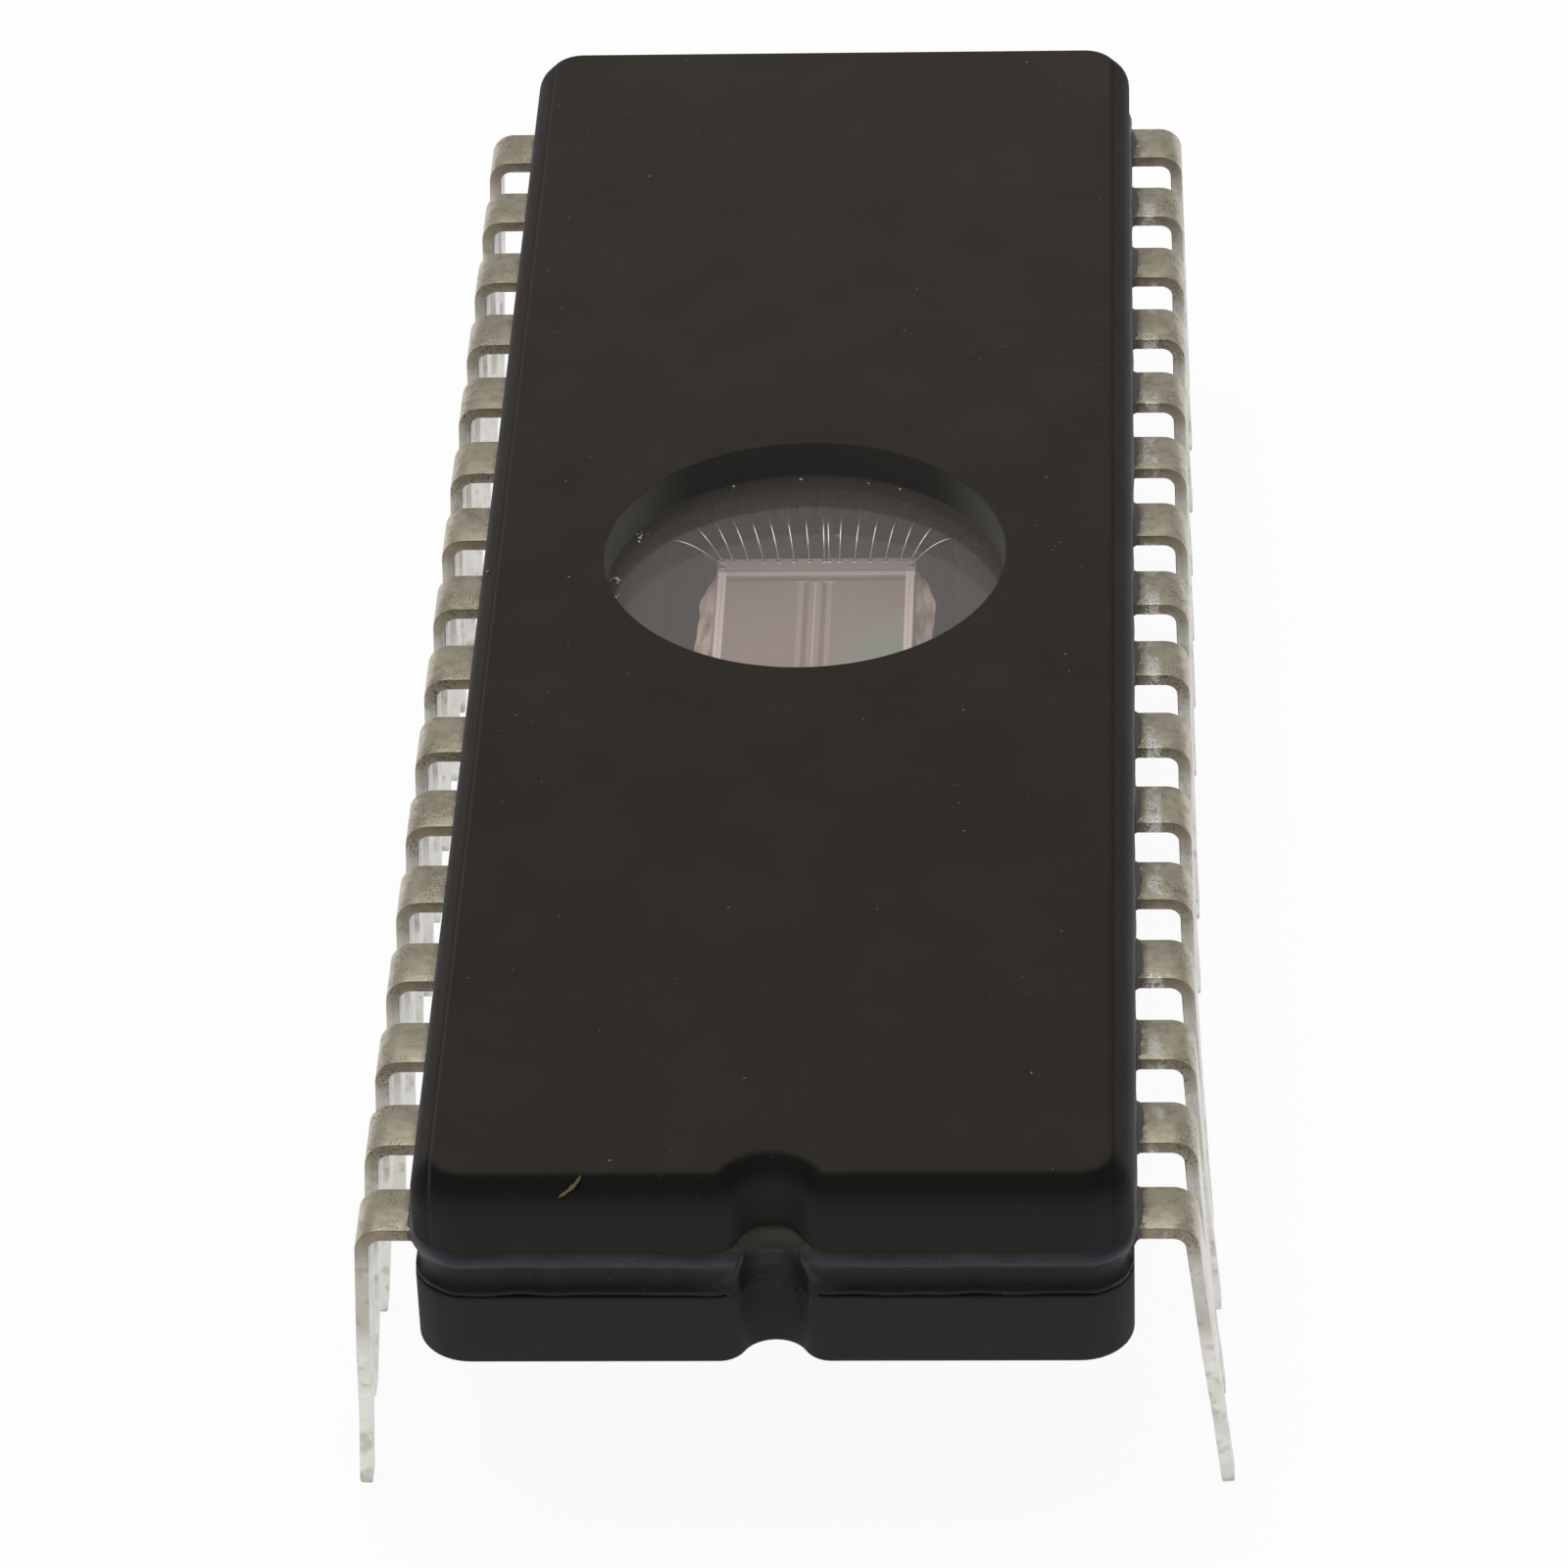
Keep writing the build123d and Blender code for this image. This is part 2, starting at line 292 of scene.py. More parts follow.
@dataclass(frozen=True)
class PressedCeramic(Finish):
    """Matte brownish black ceramic with a fine grain, faint clouds and pale dust.

    Heights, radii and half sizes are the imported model's, in millimetres. A pair says where a noise, a
    drop or an inset starts to count and where it counts in full. hole_edge and cavity_edge are square
    millimetres past the square of the hole's radius.
    """

    name: str = "pressed_ceramic"
    colour: Colour = (0.0215, 0.0182, 0.0135)
    cloud: Colour = (0.0350, 0.0298, 0.0236)
    wall: Colour = (0.0208, 0.0221, 0.0196)
    base_wall: Colour = (0.0268, 0.0286, 0.0272)
    crown: Colour = (0.0115, 0.0072, 0.0042)
    # A painted highlight: the light line along the left crown edge.
    crease: Colour = (0.0480, 0.0440, 0.0400)
    # Painted shade: the darkest tone, on the crown bevels at the two ends.
    end_crown_shade: Colour = (0.0040, 0.0042, 0.0028)
    hole: Colour = (0.0540, 0.0540, 0.0490)
    # Painted light on the hole's wall: palest at its two sides, and a little paler on its foot below the
    # window's top.
    hole_side_light: Colour = (0.1450, 0.1450, 0.1300)
    hole_foot_light: Colour = (0.0620, 0.0580, 0.0530)
    # Painted shade in the die's cavity.
    inside: Colour = (0.012, 0.010, 0.009)
    dust: Colour = (0.10, 0.09, 0.07)
    roughness: float = 0.60
    ior: float = 1.20
    grain_depth: float = 0.010
    clouds_per_mm: float = 0.55
    grains_per_mm: float = 16.0
    specks_per_mm: float = 9.0
    cloud_levels: Pair = (0.35, 0.70)
    grain_levels: Pair = (0.58, 0.78)
    speck_levels: Pair = (0.755, 0.790)
    cloud_share: float = 0.35
    # A painted sheen: the ceramic grows paler towards the far end.
    far_share: float = 0.60
    grain_share: float = 0.25
    speck_share: float = 0.22
    crease_highlight_share: float = 0.60
    cap_top: float = 8.60
    base_top: float = 6.05
    window_top: float = 7.78
    half_width: float = 6.60
    half_length: float = 20.65
    hole_radius: float = 4.06
    far_sheen_levels: Pair = (-16.0, 20.0)
    end_crown_inset: Pair = (1.25, 1.05)
    side_crown_inset: Pair = (0.43, 0.37)
    crown_drop: Pair = (0.02, 0.08)
    crease_inset: float = 0.41
    crease_half: float = 0.012
    crease_soft: float = 0.030
    wall_drop: Pair = (0.22, 0.54)
    hole_side_from: Pair = (2.4, 4.0)
    cavity_depth: Pair = (0.60, 0.50)
    wall_on_side: float = 0.40
    hole_edge: Pair = (0.5, 0.1)
    hole_drop: Pair = (0.01, 0.07)
    hole_foot_drop: Pair = (0.01, 0.06)
    cavity_edge: Pair = (9.0, 8.0)
    cavity_top: Pair = (0.02, -0.01)
    base_edge: Pair = (0.02, 0.0)
    grain_roughness: float = 0.16
    cloud_roughness: float = 0.10

    def crowned(self, board: Board, tone: Socket) -> Socket:
        """Darken the crown edges, most at the two ends as painted shade, paint a highlight line on the left
        crease, and cool the walls below.

        Args:
            board: the material's node tree.
            tone: the colour on top of the cap.

        Returns:
            The colour with its crown edges and walls.
        """
        x, y, height = board.axes(board.place())
        # Painted shade: the crown bevels are darkened, most at the two ends.
        ends = abs(y).below(self.half_length, self.end_crown_inset)
        side = abs(x).below(self.half_width, self.side_crown_inset)
        crown = height.below(self.cap_top, self.crown_drop).top(side)
        tone = board.blend(crown, tone, board.blend(ends, self.crown, self.end_crown_shade))
        # A painted highlight line on the left crease of the crown.
        crease = (-1.0 * x).near(self.half_width - self.crease_inset, self.crease_half, self.crease_soft)
        tone = board.blend(crease * self.crease_highlight_share, tone, self.crease)
        foot = height.below(self.cap_top, self.wall_drop)
        tone = board.blend(foot * (1 - (1 - self.wall_on_side) * side), tone, self.wall)
        return board.blend(height.above(self.base_top, self.base_edge), tone, self.base_wall)

    def hollowed(self, board: Board, tone: Socket) -> Socket:
        """Tone the wall of the window's hole, with painted light making it palest at its two sides, and the
        die's cavity with painted shade.

        Args:
            board: the material's node tree.
            tone: the colour elsewhere.

        Returns:
            The colour with the hole and the cavity in it.
        """
        x, y, height = board.axes(board.place())
        middle = x * x + y * y
        area = self.hole_radius**2
        well = middle.above(area, self.hole_edge)
        well = well * height.below(self.cap_top, self.hole_drop)
        # Painted light: the hole's wall is palest at its two sides.
        hole = board.blend(abs(x).rise(*self.hole_side_from), self.hole, self.hole_side_light)
        # Painted light: the wall's foot below the window's top is a little paler than the plain hole tone.
        foot = height.below(self.window_top, self.hole_foot_drop)
        tone = board.blend(well, tone, board.blend(foot, hole, self.hole_foot_light))
        # Painted shade: the cavity sunk in the base is darker than the ceramic outside.
        cavity = middle.above(area, self.cavity_edge)
        cavity = cavity * height.above(self.base_top, self.cavity_top)
        cavity = cavity * height.below(self.base_top, self.cavity_depth)
        return board.blend(cavity, tone, self.inside)

    def surface(self, board: Board) -> Socket:
        """Cooler on the walls than on top, darkest on the two ends' crown edges as painted shade, paler in
        the hole with painted light on its wall, with painted shade in the cavity and a painted sheen towards
        the far end.

        Args:
            board: the material's node tree.

        Returns:
            The shader's socket.
        """
        point = board.place()
        y = board.axes(point)[1]
        clouds = board.noise(point, self.clouds_per_mm, 3.0)
        grain = board.noise(point, self.grains_per_mm, 3.0)
        rough = self.roughness + (grain - 0.5) * self.grain_roughness + (clouds - 0.5) * self.cloud_roughness
        specks = board.noise(point, self.specks_per_mm, 1.0).rise(*self.speck_levels)
        # pale is the clouds plus a painted sheen that grows towards the far end.
        pale = clouds.rise(*self.cloud_levels) * self.cloud_share + y.rise(*self.far_sheen_levels) * self.far_share
        tone = self.crowned(board, board.blend(pale, self.colour, self.cloud))
        tone = board.blend(grain.rise(*self.grain_levels) * self.grain_share, tone, self.cloud)
        tone = board.blend(specks * self.speck_share, tone, self.dust)
        look = {
            "Base Color": self.hollowed(board, tone),
            "Roughness": rough,
            "IOR": self.ior,
            "Normal": board.bump(grain * 0.7 + clouds * 0.3, self.grain_depth),
        }
        return board.shaded(look)


@dataclass(frozen=True)
class SealGlass(Finish):
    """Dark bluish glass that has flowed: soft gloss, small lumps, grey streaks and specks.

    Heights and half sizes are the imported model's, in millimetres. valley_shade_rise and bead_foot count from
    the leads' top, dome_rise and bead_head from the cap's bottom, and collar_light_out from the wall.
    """

    name: str = "flowed_seal_glass"
    colour: Colour = (0.0130, 0.0145, 0.0225)
    streak: Colour = (0.0215, 0.0245, 0.0385)
    # Painted shade in the valley between the leads.
    valley: Colour = (0.0080, 0.0085, 0.0095)
    dome: Colour = (0.0400, 0.0400, 0.0330)
    notch: Colour = (0.0150, 0.0158, 0.0140)
    # Painted light: the glass that creeps out along the leads is far paler than the same glass elsewhere.
    collar: Colour = (0.1050, 0.1030, 0.1040)
    inside: Colour = (0.014, 0.012, 0.011)
    crumb: Colour = (0.12, 0.115, 0.10)
    roughness: float = 0.46
    specular: float = 0.16
    coat: float = 0.30
    notch_coat: float = 0.06
    coat_roughness: float = 0.30
    lump_depth: float = 0.016
    streaks_per_mm: float = 2.2
    streak_stretch: Point = (1.0, 0.45, 3.0)
    lumps_per_mm: float = 6.0
    crumbs_per_mm: float = 11.0
    crumb_levels: Pair = (0.74, 0.78)
    crumb_share: float = 0.30
    lead_top: float = 6.50
    cap_bottom: float = 7.05
    wall: float = 6.62
    opening: Pair = (4.45, 5.40)
    half_length: float = 20.65
    notch_half: Pair = (0.86, 0.56)
    notch_reach: Pair = (1.6, 1.4)
    streak_levels: Pair = (0.42, 0.72)
    valley_shade_rise: Pair = (0.32, 0.10)
    dome_rise: Pair = (-0.04, 0.10)
    collar_light_out: Pair = (0.005, 0.06)
    bead_foot: Pair = (0.20, 0.42)
    bead_head: Pair = (0.10, -0.02)
    opening_soft: float = 0.1
    lump_roughness: float = 0.24
    inner_roughness: float = 0.25

    def surface(self, board: Board) -> Socket:
        """Streaks lie along the body. Painted shade makes it darkest between the leads, painted light makes
        the glass on the leads outside the wall pale, and the notch has less gloss.

        Args:
            board: the material's node tree.

        Returns:
            The shader's socket.
        """
        point = board.place()
        x, y, height = board.axes(point)
        streaks = board.noise(board.stretched(point, self.streak_stretch), self.streaks_per_mm, 3.0)
        lumps = board.noise(point, self.lumps_per_mm, 2.0)
        crumbs = board.noise(point, self.crumbs_per_mm, 1.0).rise(*self.crumb_levels)
        tone = board.blend(streaks.rise(*self.streak_levels), self.colour, self.streak)
        # Painted shade: the valley between the leads is darkened.
        valley = height.above(self.lead_top, self.valley_shade_rise)
        tone = board.blend(valley, tone, self.valley)
        notch = abs(x).rise(*self.notch_half) * y.above(-self.half_length, self.notch_reach)
        tone = board.blend(notch, tone, self.notch)
        dome = height.above(self.cap_bottom, self.dome_rise)
        tone = board.blend(dome, tone, self.dome)
        # Painted light on the glass round the leads outside the wall.
        collar = abs(x).above(self.wall, self.collar_light_out)
        tone = board.blend(collar, tone, self.collar)
        tone = board.blend(crumbs * self.crumb_share, tone, self.crumb)
        (half_x, half_y), soft = self.opening, self.opening_soft
        inner = abs(x).rise(half_x + soft, half_x) * abs(y).rise(half_y + soft, half_y)
        tone = board.blend(inner, tone, self.inside)
        bead = height.above(self.lead_top, self.bead_foot)
        bead = bead * height.above(self.cap_bottom, self.bead_head)
        rough = self.roughness + (lumps - 0.5) * self.lump_roughness + inner * self.inner_roughness
        look = {
            "Base Color": tone,
            "Roughness": rough,
            "Specular IOR Level": self.specular,
            "Coat Weight": bead * (self.coat - (self.coat - self.notch_coat) * notch),
            "Coat Roughness": self.coat_roughness,
            "Normal": board.bump(lumps, self.lump_depth),
        }
        return board.shaded(look)


@dataclass(frozen=True)
class QuartzGlass(Finish):
    """Clear quartz with a little haze in it. Lamps light what is under it."""

    name: str = "clear_quartz"
    colour: Colour = (0.975, 0.905, 0.862)
    film: Colour = (0.93, 0.93, 0.94)
    roughness: float = 0.015
    ior: float = 1.46
    clear_share: float = 0.964

    def surface(self, board: Board) -> Socket:
        """Refracting glass, with a clear film in its place for rays from lamps.

        Args:
            board: the material's node tree.

        Returns:
            The shader's socket.
        """
        look = {
            "Base Color": self.colour,
            "Roughness": self.roughness,
            "IOR": self.ior,
            "Transmission Weight": self.clear_share,
        }
        film = board.node("ShaderNodeBsdfTransparent", None, {"Color": self.film})
        lamp_ray = board.node("ShaderNodeLightPath").outputs["Is Shadow Ray"]
        return board.mixed(lamp_ray, board.shaded(look), film.outputs[0])


@dataclass(frozen=True)
class LeadMetal(Finish):
    """Dipped lead metal: warm grey, duller and stained on the shoulders, cleaner down the legs.

    Distances are millimetres. wall is where a lead leaves the body and shoulder_top is its flat top.
    """

    name: str = "dipped_lead_metal"
    clean: Colour = (0.67, 0.655, 0.600)
    bright: Colour = (0.80, 0.79, 0.745)
    smudge: Colour = (0.36, 0.34, 0.29)
    dull: Colour = (0.515, 0.465, 0.352)
    tarnish: Colour = (0.330, 0.287, 0.205)
    # Dark brown: painted shade on the lead's edges, and a blotchy dark tone near the wall.
    dark_brown: Colour = (0.170, 0.142, 0.100)
    stain: Colour = (0.085, 0.074, 0.056)
    rust: Colour = (0.24, 0.17, 0.11)
    # Painted shade: the metal inside the body, with the fingers under the window, is dark and dull.
    buried_shade: Colour = (0.019, 0.017, 0.015)
    metallic: float = 0.86
    pit_metallic: float = 0.36
    roughness: float = 0.36
    grain_depth: float = 0.010
    broad_per_mm: float = 1.1
    fine_per_mm: float = 5.0
    spots_per_mm: float = 24.0
    patches_per_mm: float = 2.4
    marks_per_mm: float = 2.0
    wall: float = 6.6
    shoulder_top: float = 6.5
    row_shift: float = 0.45
    pitch: float = 2.54
    blade_width: float = 1.24
    shoulder_drop: Pair = (1.0, 0.12)
    cut_inset: Pair = (0.028, 0.008)
    inner_inset: Pair = (0.05, 0.01)
    inner_height: float = 5.0
    band_out: float = 0.66
    band_drop: Pair = (0.2, 0.0)
    dab_out: float = 0.42
    root_out: Pair = (0.32, 0.12)
    blade_heights: Pair = (3.4, 4.8)
    mark_heights: Pair = (5.0, 3.5)
    tip_heights: Pair = (0.34, 0.04)
    buried_inset: Pair = (0.30, 0.60)
    smudge_share: float = 0.55
    shoulder_share: float = 0.95
    cut_share: float = 0.75
    inner_share: float = 0.35
    band_share: float = 0.35
    dab_share: float = 0.70
    root_share: float = 0.75
    pit_share: float = 0.80
    mark_share: float = 0.32
    tip_share: float = 0.55

    def shade_edges(self, board: Board, tone: Socket, shoulder: Signal) -> Socket:
        """Paint shade on the cut edges of the shoulder, and on the blade's edges half way down it.

        Args:
            board: the material's node tree.
            tone: the colour of the metal.
            shoulder: how much a point belongs to the shoulder, from 0 to 1.

        Returns:
            The colour with the edges in it.
        """
        _, y, z = board.axes(board.place())
        along = ((y - self.row_shift) * (1 / self.pitch)).fraction()
        aside = abs(along - 0.5) * self.pitch
        edge = self.blade_width / 2
        # Painted shade on the shoulder's cut edges.
        cut = aside.below(edge, self.cut_inset) * shoulder
        tone = board.blend(cut * self.cut_share, tone, self.dark_brown)
        # Painted shade on the blade's edges half way down.
        inner_face = aside.below(edge, self.inner_inset) * z.near(self.inner_height, 0.7, 0.6)
        return board.blend(inner_face * self.inner_share, tone, self.dark_brown)

    def surface(self, board: Board) -> Socket:
        """Height and distance from the body choose the tone, and noise breaks it up.

        Args:
            board: the material's node tree.

        Returns:
            The shader's socket.
        """
        point = board.place()
        x, _, z = board.axes(point)
        out = abs(x)
        broad = board.noise(point, self.broad_per_mm, 3.0)
        fine = board.noise(point, self.fine_per_mm, 4.0)
        spots = board.noise(point, self.spots_per_mm, 2.0)
        tone = board.blend(broad.rise(0.36, 0.64), self.clean, self.bright)
        shoulder = z.below(self.shoulder_top, self.shoulder_drop)
        worn = board.blend(fine.rise(0.40, 0.66) * 0.65, self.dull, self.tarnish)
        patch = board.noise(point, self.patches_per_mm, 2.0).rise(0.56, 0.68)
        tone = board.blend(patch * self.smudge_share, tone, self.smudge)
        tone = board.blend(shoulder * self.shoulder_share, tone, worn)
        tone = self.shade_edges(board, tone, shoulder)
        band = out.near(self.wall + self.band_out, 0.08, 0.22) * z.below(self.shoulder_top, self.band_drop)
        tone = board.blend(band * broad.rise(0.38, 0.58) * self.band_share, tone, self.tarnish)
        dab = out.near(self.wall + self.dab_out, 0.08, 0.14) * shoulder * broad.rise(0.47, 0.55)
        dab = dab * x.rise(0.0, 1.0) * fine.rise(0.36, 0.50)
        tone = board.blend(dab * self.dab_share, tone, self.bright)
        root = out.above(self.wall, self.root_out) * fine.rise(0.36, 0.52)
        tone = board.blend(root * self.root_share, tone, self.dark_brown)
        crowding = 0.10 + 0.20 * z.rise(*self.blade_heights) + 0.70 * shoulder
        pits = spots.rise(0.55, 0.61) * broad.rise(0.46, 0.60) * crowding
        tone = board.blend(pits * self.pit_share, tone, self.stain)
        marks = board.noise(point, self.marks_per_mm, 1.0).rise(0.60, 0.72) * z.rise(*self.mark_heights)
        tone = board.blend(marks * self.mark_share, tone, self.rust)
        tip = z.rise(*self.tip_heights) * fine.rise(0.30, 0.55)
        tone = board.blend(tip * self.tip_share, tone, self.rust)
        # Painted shade: dark, dull metal inside the body.
        inside = out.below(self.wall, self.buried_inset)
        tone = board.blend(inside, tone, self.buried_shade)
        look = {
            "Base Color": tone,
            "Metallic": (self.metallic - (self.metallic - self.pit_metallic) * pits) * (1 - inside),
            "Roughness": self.roughness + (fine - 0.5) * 0.22 + pits * 0.25 + inside * 0.2,
            "Normal": board.bump(fine * 0.7 + spots * 0.3, self.grain_depth),
        }
        return board.shaded(look)


@dataclass(frozen=True)
class Stripe:
    """A stripe on the die: its tone, middle, half width and soft edge in millimetres, and strength."""

    tone: Colour
    middle: float
    half: float
    soft: float
    share: float


# The tones of the die's stripes.
DIE_METAL: Colour = (0.80, 0.725, 0.727)
DIE_BLUE: Colour = (0.38, 0.38, 0.44)
DIE_DARK: Colour = (0.165, 0.140, 0.135)


@dataclass(frozen=True)
class DieFace(Finish):
    """Polished silicon: two pinkish memory fields, bright metal at the sides and between them.

    The middle stripes run along the die and are placed from its centre line. The end stripes run across
    it and are placed from its two ends.
    """

    name: str = "polished_die"
    centre_x: float = 0.0
    half: Pair = (2.0, 2.7)
    field_tone: Colour = (0.348, 0.308, 0.290)
    green: Colour = (0.288, 0.376, 0.342)
    edge: Colour = (0.345, 0.308, 0.308)
    green_share: float = 0.80
    grain_share: float = 0.12
    metallic: float = 0.45
    roughness: float = 0.36
    grains_per_mm: float = 11.0
    rim_width: float = 0.022
    middle_stripes: tuple[Stripe, ...] = (
        Stripe(DIE_METAL, 0.290, 0.045, 0.025, 0.20),
        Stripe(DIE_DARK, 0.185, 0.035, 0.025, 0.38),
        Stripe(DIE_METAL, 0.0, 0.110, 0.025, 0.14),
        Stripe(DIE_METAL, 0.0, 0.012, 0.012, 0.50),
    )
    field_end: Pair = (0.875, 0.860)
    end_stripes: tuple[Stripe, ...] = (
        Stripe(DIE_DARK, 0.770, 0.050, 0.015, 0.55),
        Stripe(DIE_METAL, 0.555, 0.055, 0.015, 0.70),
        Stripe(DIE_DARK, 0.545, 0.008, 0.008, 0.50),
        Stripe(DIE_BLUE, 0.350, 0.030, 0.020, 0.60),
        Stripe(DIE_BLUE, 0.235, 0.018, 0.012, 0.55),
    )

    def striped(self, board: Board, tone: Socket, distance: Signal, stripes: Sequence[Stripe]) -> Socket:
        """Lay stripes over a colour, one after the other.

        Args:
            board: the material's node tree.
            tone: the colour under them.
            distance: the distance that places them.
            stripes: the stripes.

        Returns:
            The striped colour.
        """
        for stripe in stripes:
            share = distance.near(stripe.middle, stripe.half, stripe.soft) * stripe.share
            tone = board.blend(share, tone, stripe.tone)
        return tone

    def surface(self, board: Board) -> Socket:
        """Bands run along the die and across its two ends, as the layout of such a die does.

        Args:
            board: the material's node tree.

        Returns:
            The shader's socket.
        """
        point = board.place()
        x, y, _ = board.axes(point)
        across = x - self.centre_x
        middle = abs(across)
        off_side = self.half[0] - middle
        off_end = self.half[1] - abs(y)
        grain = board.noise(board.stretched(point, (1.0, 5.0, 1.0)), self.grains_per_mm, 2.0)
        green = (across * 0.8 - y * 0.9).rise(0.2, 1.5) * across.rise(0.25, 0.7)
        tone = board.blend(green * self.green_share, self.field_tone, self.green)
        tone = board.blend(grain.rise(0.55, 0.80) * self.grain_share, tone, DIE_DARK)
        tone = self.striped(board, tone, middle, self.middle_stripes)
        tone = board.blend(off_end.rise(*self.field_end), tone, self.edge)
        dashes = middle.near(0.27, 0.10, 0.03) * off_end.near(0.870, 0.012, 0.010)
        tone = board.blend(dashes * 0.70, tone, DIE_METAL)
        tone = self.striped(board, tone, off_end, self.end_stripes)
        side_band = off_side.near(0.115, 0.080, 0.010) * off_end.rise(0.46, 0.50)
        tone = board.blend(side_band, tone, DIE_METAL)
        side_line = off_side.near(0.118, 0.008, 0.006) * off_end.rise(0.60, 0.66)
        tone = board.blend(side_line * 0.30, tone, DIE_DARK)
        rim = off_side.rise(self.rim_width, 0.010).top(off_end.rise(self.rim_width, 0.010))
        tone = board.blend(rim, tone, self.edge)
        look = {
            "Base Color": tone,
            "Metallic": self.metallic,
            "Roughness": self.roughness + (grain - 0.5) * 0.10,
        }
        return board.shaded(look)


@dataclass(frozen=True)
class AttachGlass(Finish):
    """Brownish grey glass that holds the die."""

    name: str = "die_attach_glass"
    colour: Colour = (0.370, 0.312, 0.285)
    pale: Colour = (0.650, 0.575, 0.530)
    roughness: float = 0.30
    flow_per_mm: float = 1.6
    flow_stretch: Point = (4.0, 0.8, 1.0)
    flow_depth: float = 0.02

    def surface(self, board: Board) -> Socket:
        """Flow lines follow the die's side.

        Args:
            board: the material's node tree.

        Returns:
            The shader's socket.
        """
        flow = board.noise(board.stretched(board.place(), self.flow_stretch), self.flow_per_mm, 3.0)
        look = {
            "Base Color": board.blend(flow.rise(0.38, 0.66), self.colour, self.pale),
            "Roughness": self.roughness + (flow - 0.5) * 0.2,
            "Normal": board.bump(flow, self.flow_depth),
        }
        return board.shaded(look)


@dataclass(frozen=True)
class DrawnWire(Finish):
    """Drawn aluminium wire, with a painted highlight along its loop and a dull tone towards its feet as
    painted shade. The bond pads have it in another dull tone.
    """

    name: str = "drawn_aluminium"
    colour: Colour = (0.90, 0.93, 0.96)
    # On the wires the dull tone is painted shade; on the bond pads it is their own tone.
    dull: Colour = (0.27, 0.27, 0.285)
    roughness: float = 0.22
    marks_per_mm: float = 30.0
    highlight_from: float = 2.74
    highlight_to: float = 3.74
    side_from: float = 2.00
    soft: float = 0.30

    def surface(self, board: Board) -> Socket:
        """A painted highlight along the middle of the loop, and a dull tone as painted shade towards the two
        feet.

        Args:
            board: the material's node tree.

        Returns:
            The shader's socket.
        """
        point = board.place()
        x, y, _ = board.axes(point)
        marks = board.noise(point, self.marks_per_mm, 2.0)
        # Painted highlight: bright along the middle of the loop and on the side wires; dull painted shade
        # towards the feet.
        loop = abs(y).rise(self.highlight_from, self.highlight_from + self.soft)
        loop = loop.top(abs(x).rise(self.side_from, self.side_from + self.soft))
        loop = loop * abs(y).rise(self.highlight_to + self.soft, self.highlight_to)
        look = {
            "Base Color": board.blend(loop, self.dull, self.colour),
            "Metallic": 1.0,
            "Roughness": self.roughness + (marks - 0.5) * 0.12,
        }
        return board.shaded(look)


@dataclass(frozen=True)
class Soil(Finish):
    """Dust and lint, and the white painted glints at the window, each in one of its tones."""

    name: str = "pale_dust"
    colour: Colour = (0.30, 0.26, 0.20)
    other: Colour = (0.16, 0.13, 0.10)
    roughness: float = 0.85
    patches_per_mm: float = 4.0

    def surface(self, board: Board) -> Socket:
        """Dull, and uneven in tone from grain to grain.

        Args:
            board: the material's node tree.

        Returns:
            The shader's socket.
        """
        uneven = board.noise(board.place(), self.patches_per_mm, 2.0).rise(0.35, 0.65)
        look = {"Base Color": board.blend(uneven, self.colour, self.other), "Roughness": self.roughness}
        return board.shaded(look)


@dataclass(frozen=True)
class PaperWhite(Finish):
    """The studio floor: white paper that keeps a light shadow."""

    name: str = "white_paper"
    colour: Colour = (0.92, 0.92, 0.92)
    glow_share: float = 0.94

    def surface(self, board: Board) -> Socket:
        """Mostly plain white to the camera and in reflections, and lit paper for the rest.

        Args:
            board: the material's node tree.

        Returns:
            The shader's socket.
        """
        rays = board.node("ShaderNodeLightPath")
        seen = Signal(board, rays.outputs["Is Camera Ray"])
        for kind in ("Is Glossy Ray", "Is Transmission Ray"):
            seen = seen.top(Signal(board, rays.outputs[kind]))
        paper = board.node("ShaderNodeBsdfDiffuse", None, {"Color": self.colour})
        glow = board.node("ShaderNodeEmission", None, {"Color": (1.0, 1.0, 1.0), "Strength": 1.0})
        return board.mixed(seen * self.glow_share, paper.outputs[0], glow.outputs[0])


@dataclass(frozen=True)
class DarkRoom(Finish):
    """The dark space behind the camera, seen only in reflections."""

    name: str = "dark_room"
    colour: Colour = (0.012, 0.012, 0.012)

    def surface(self, board: Board) -> Socket:
        """Plain dark grey."""
        return board.node("ShaderNodeBsdfDiffuse", None, {"Color": self.colour}).outputs[0]


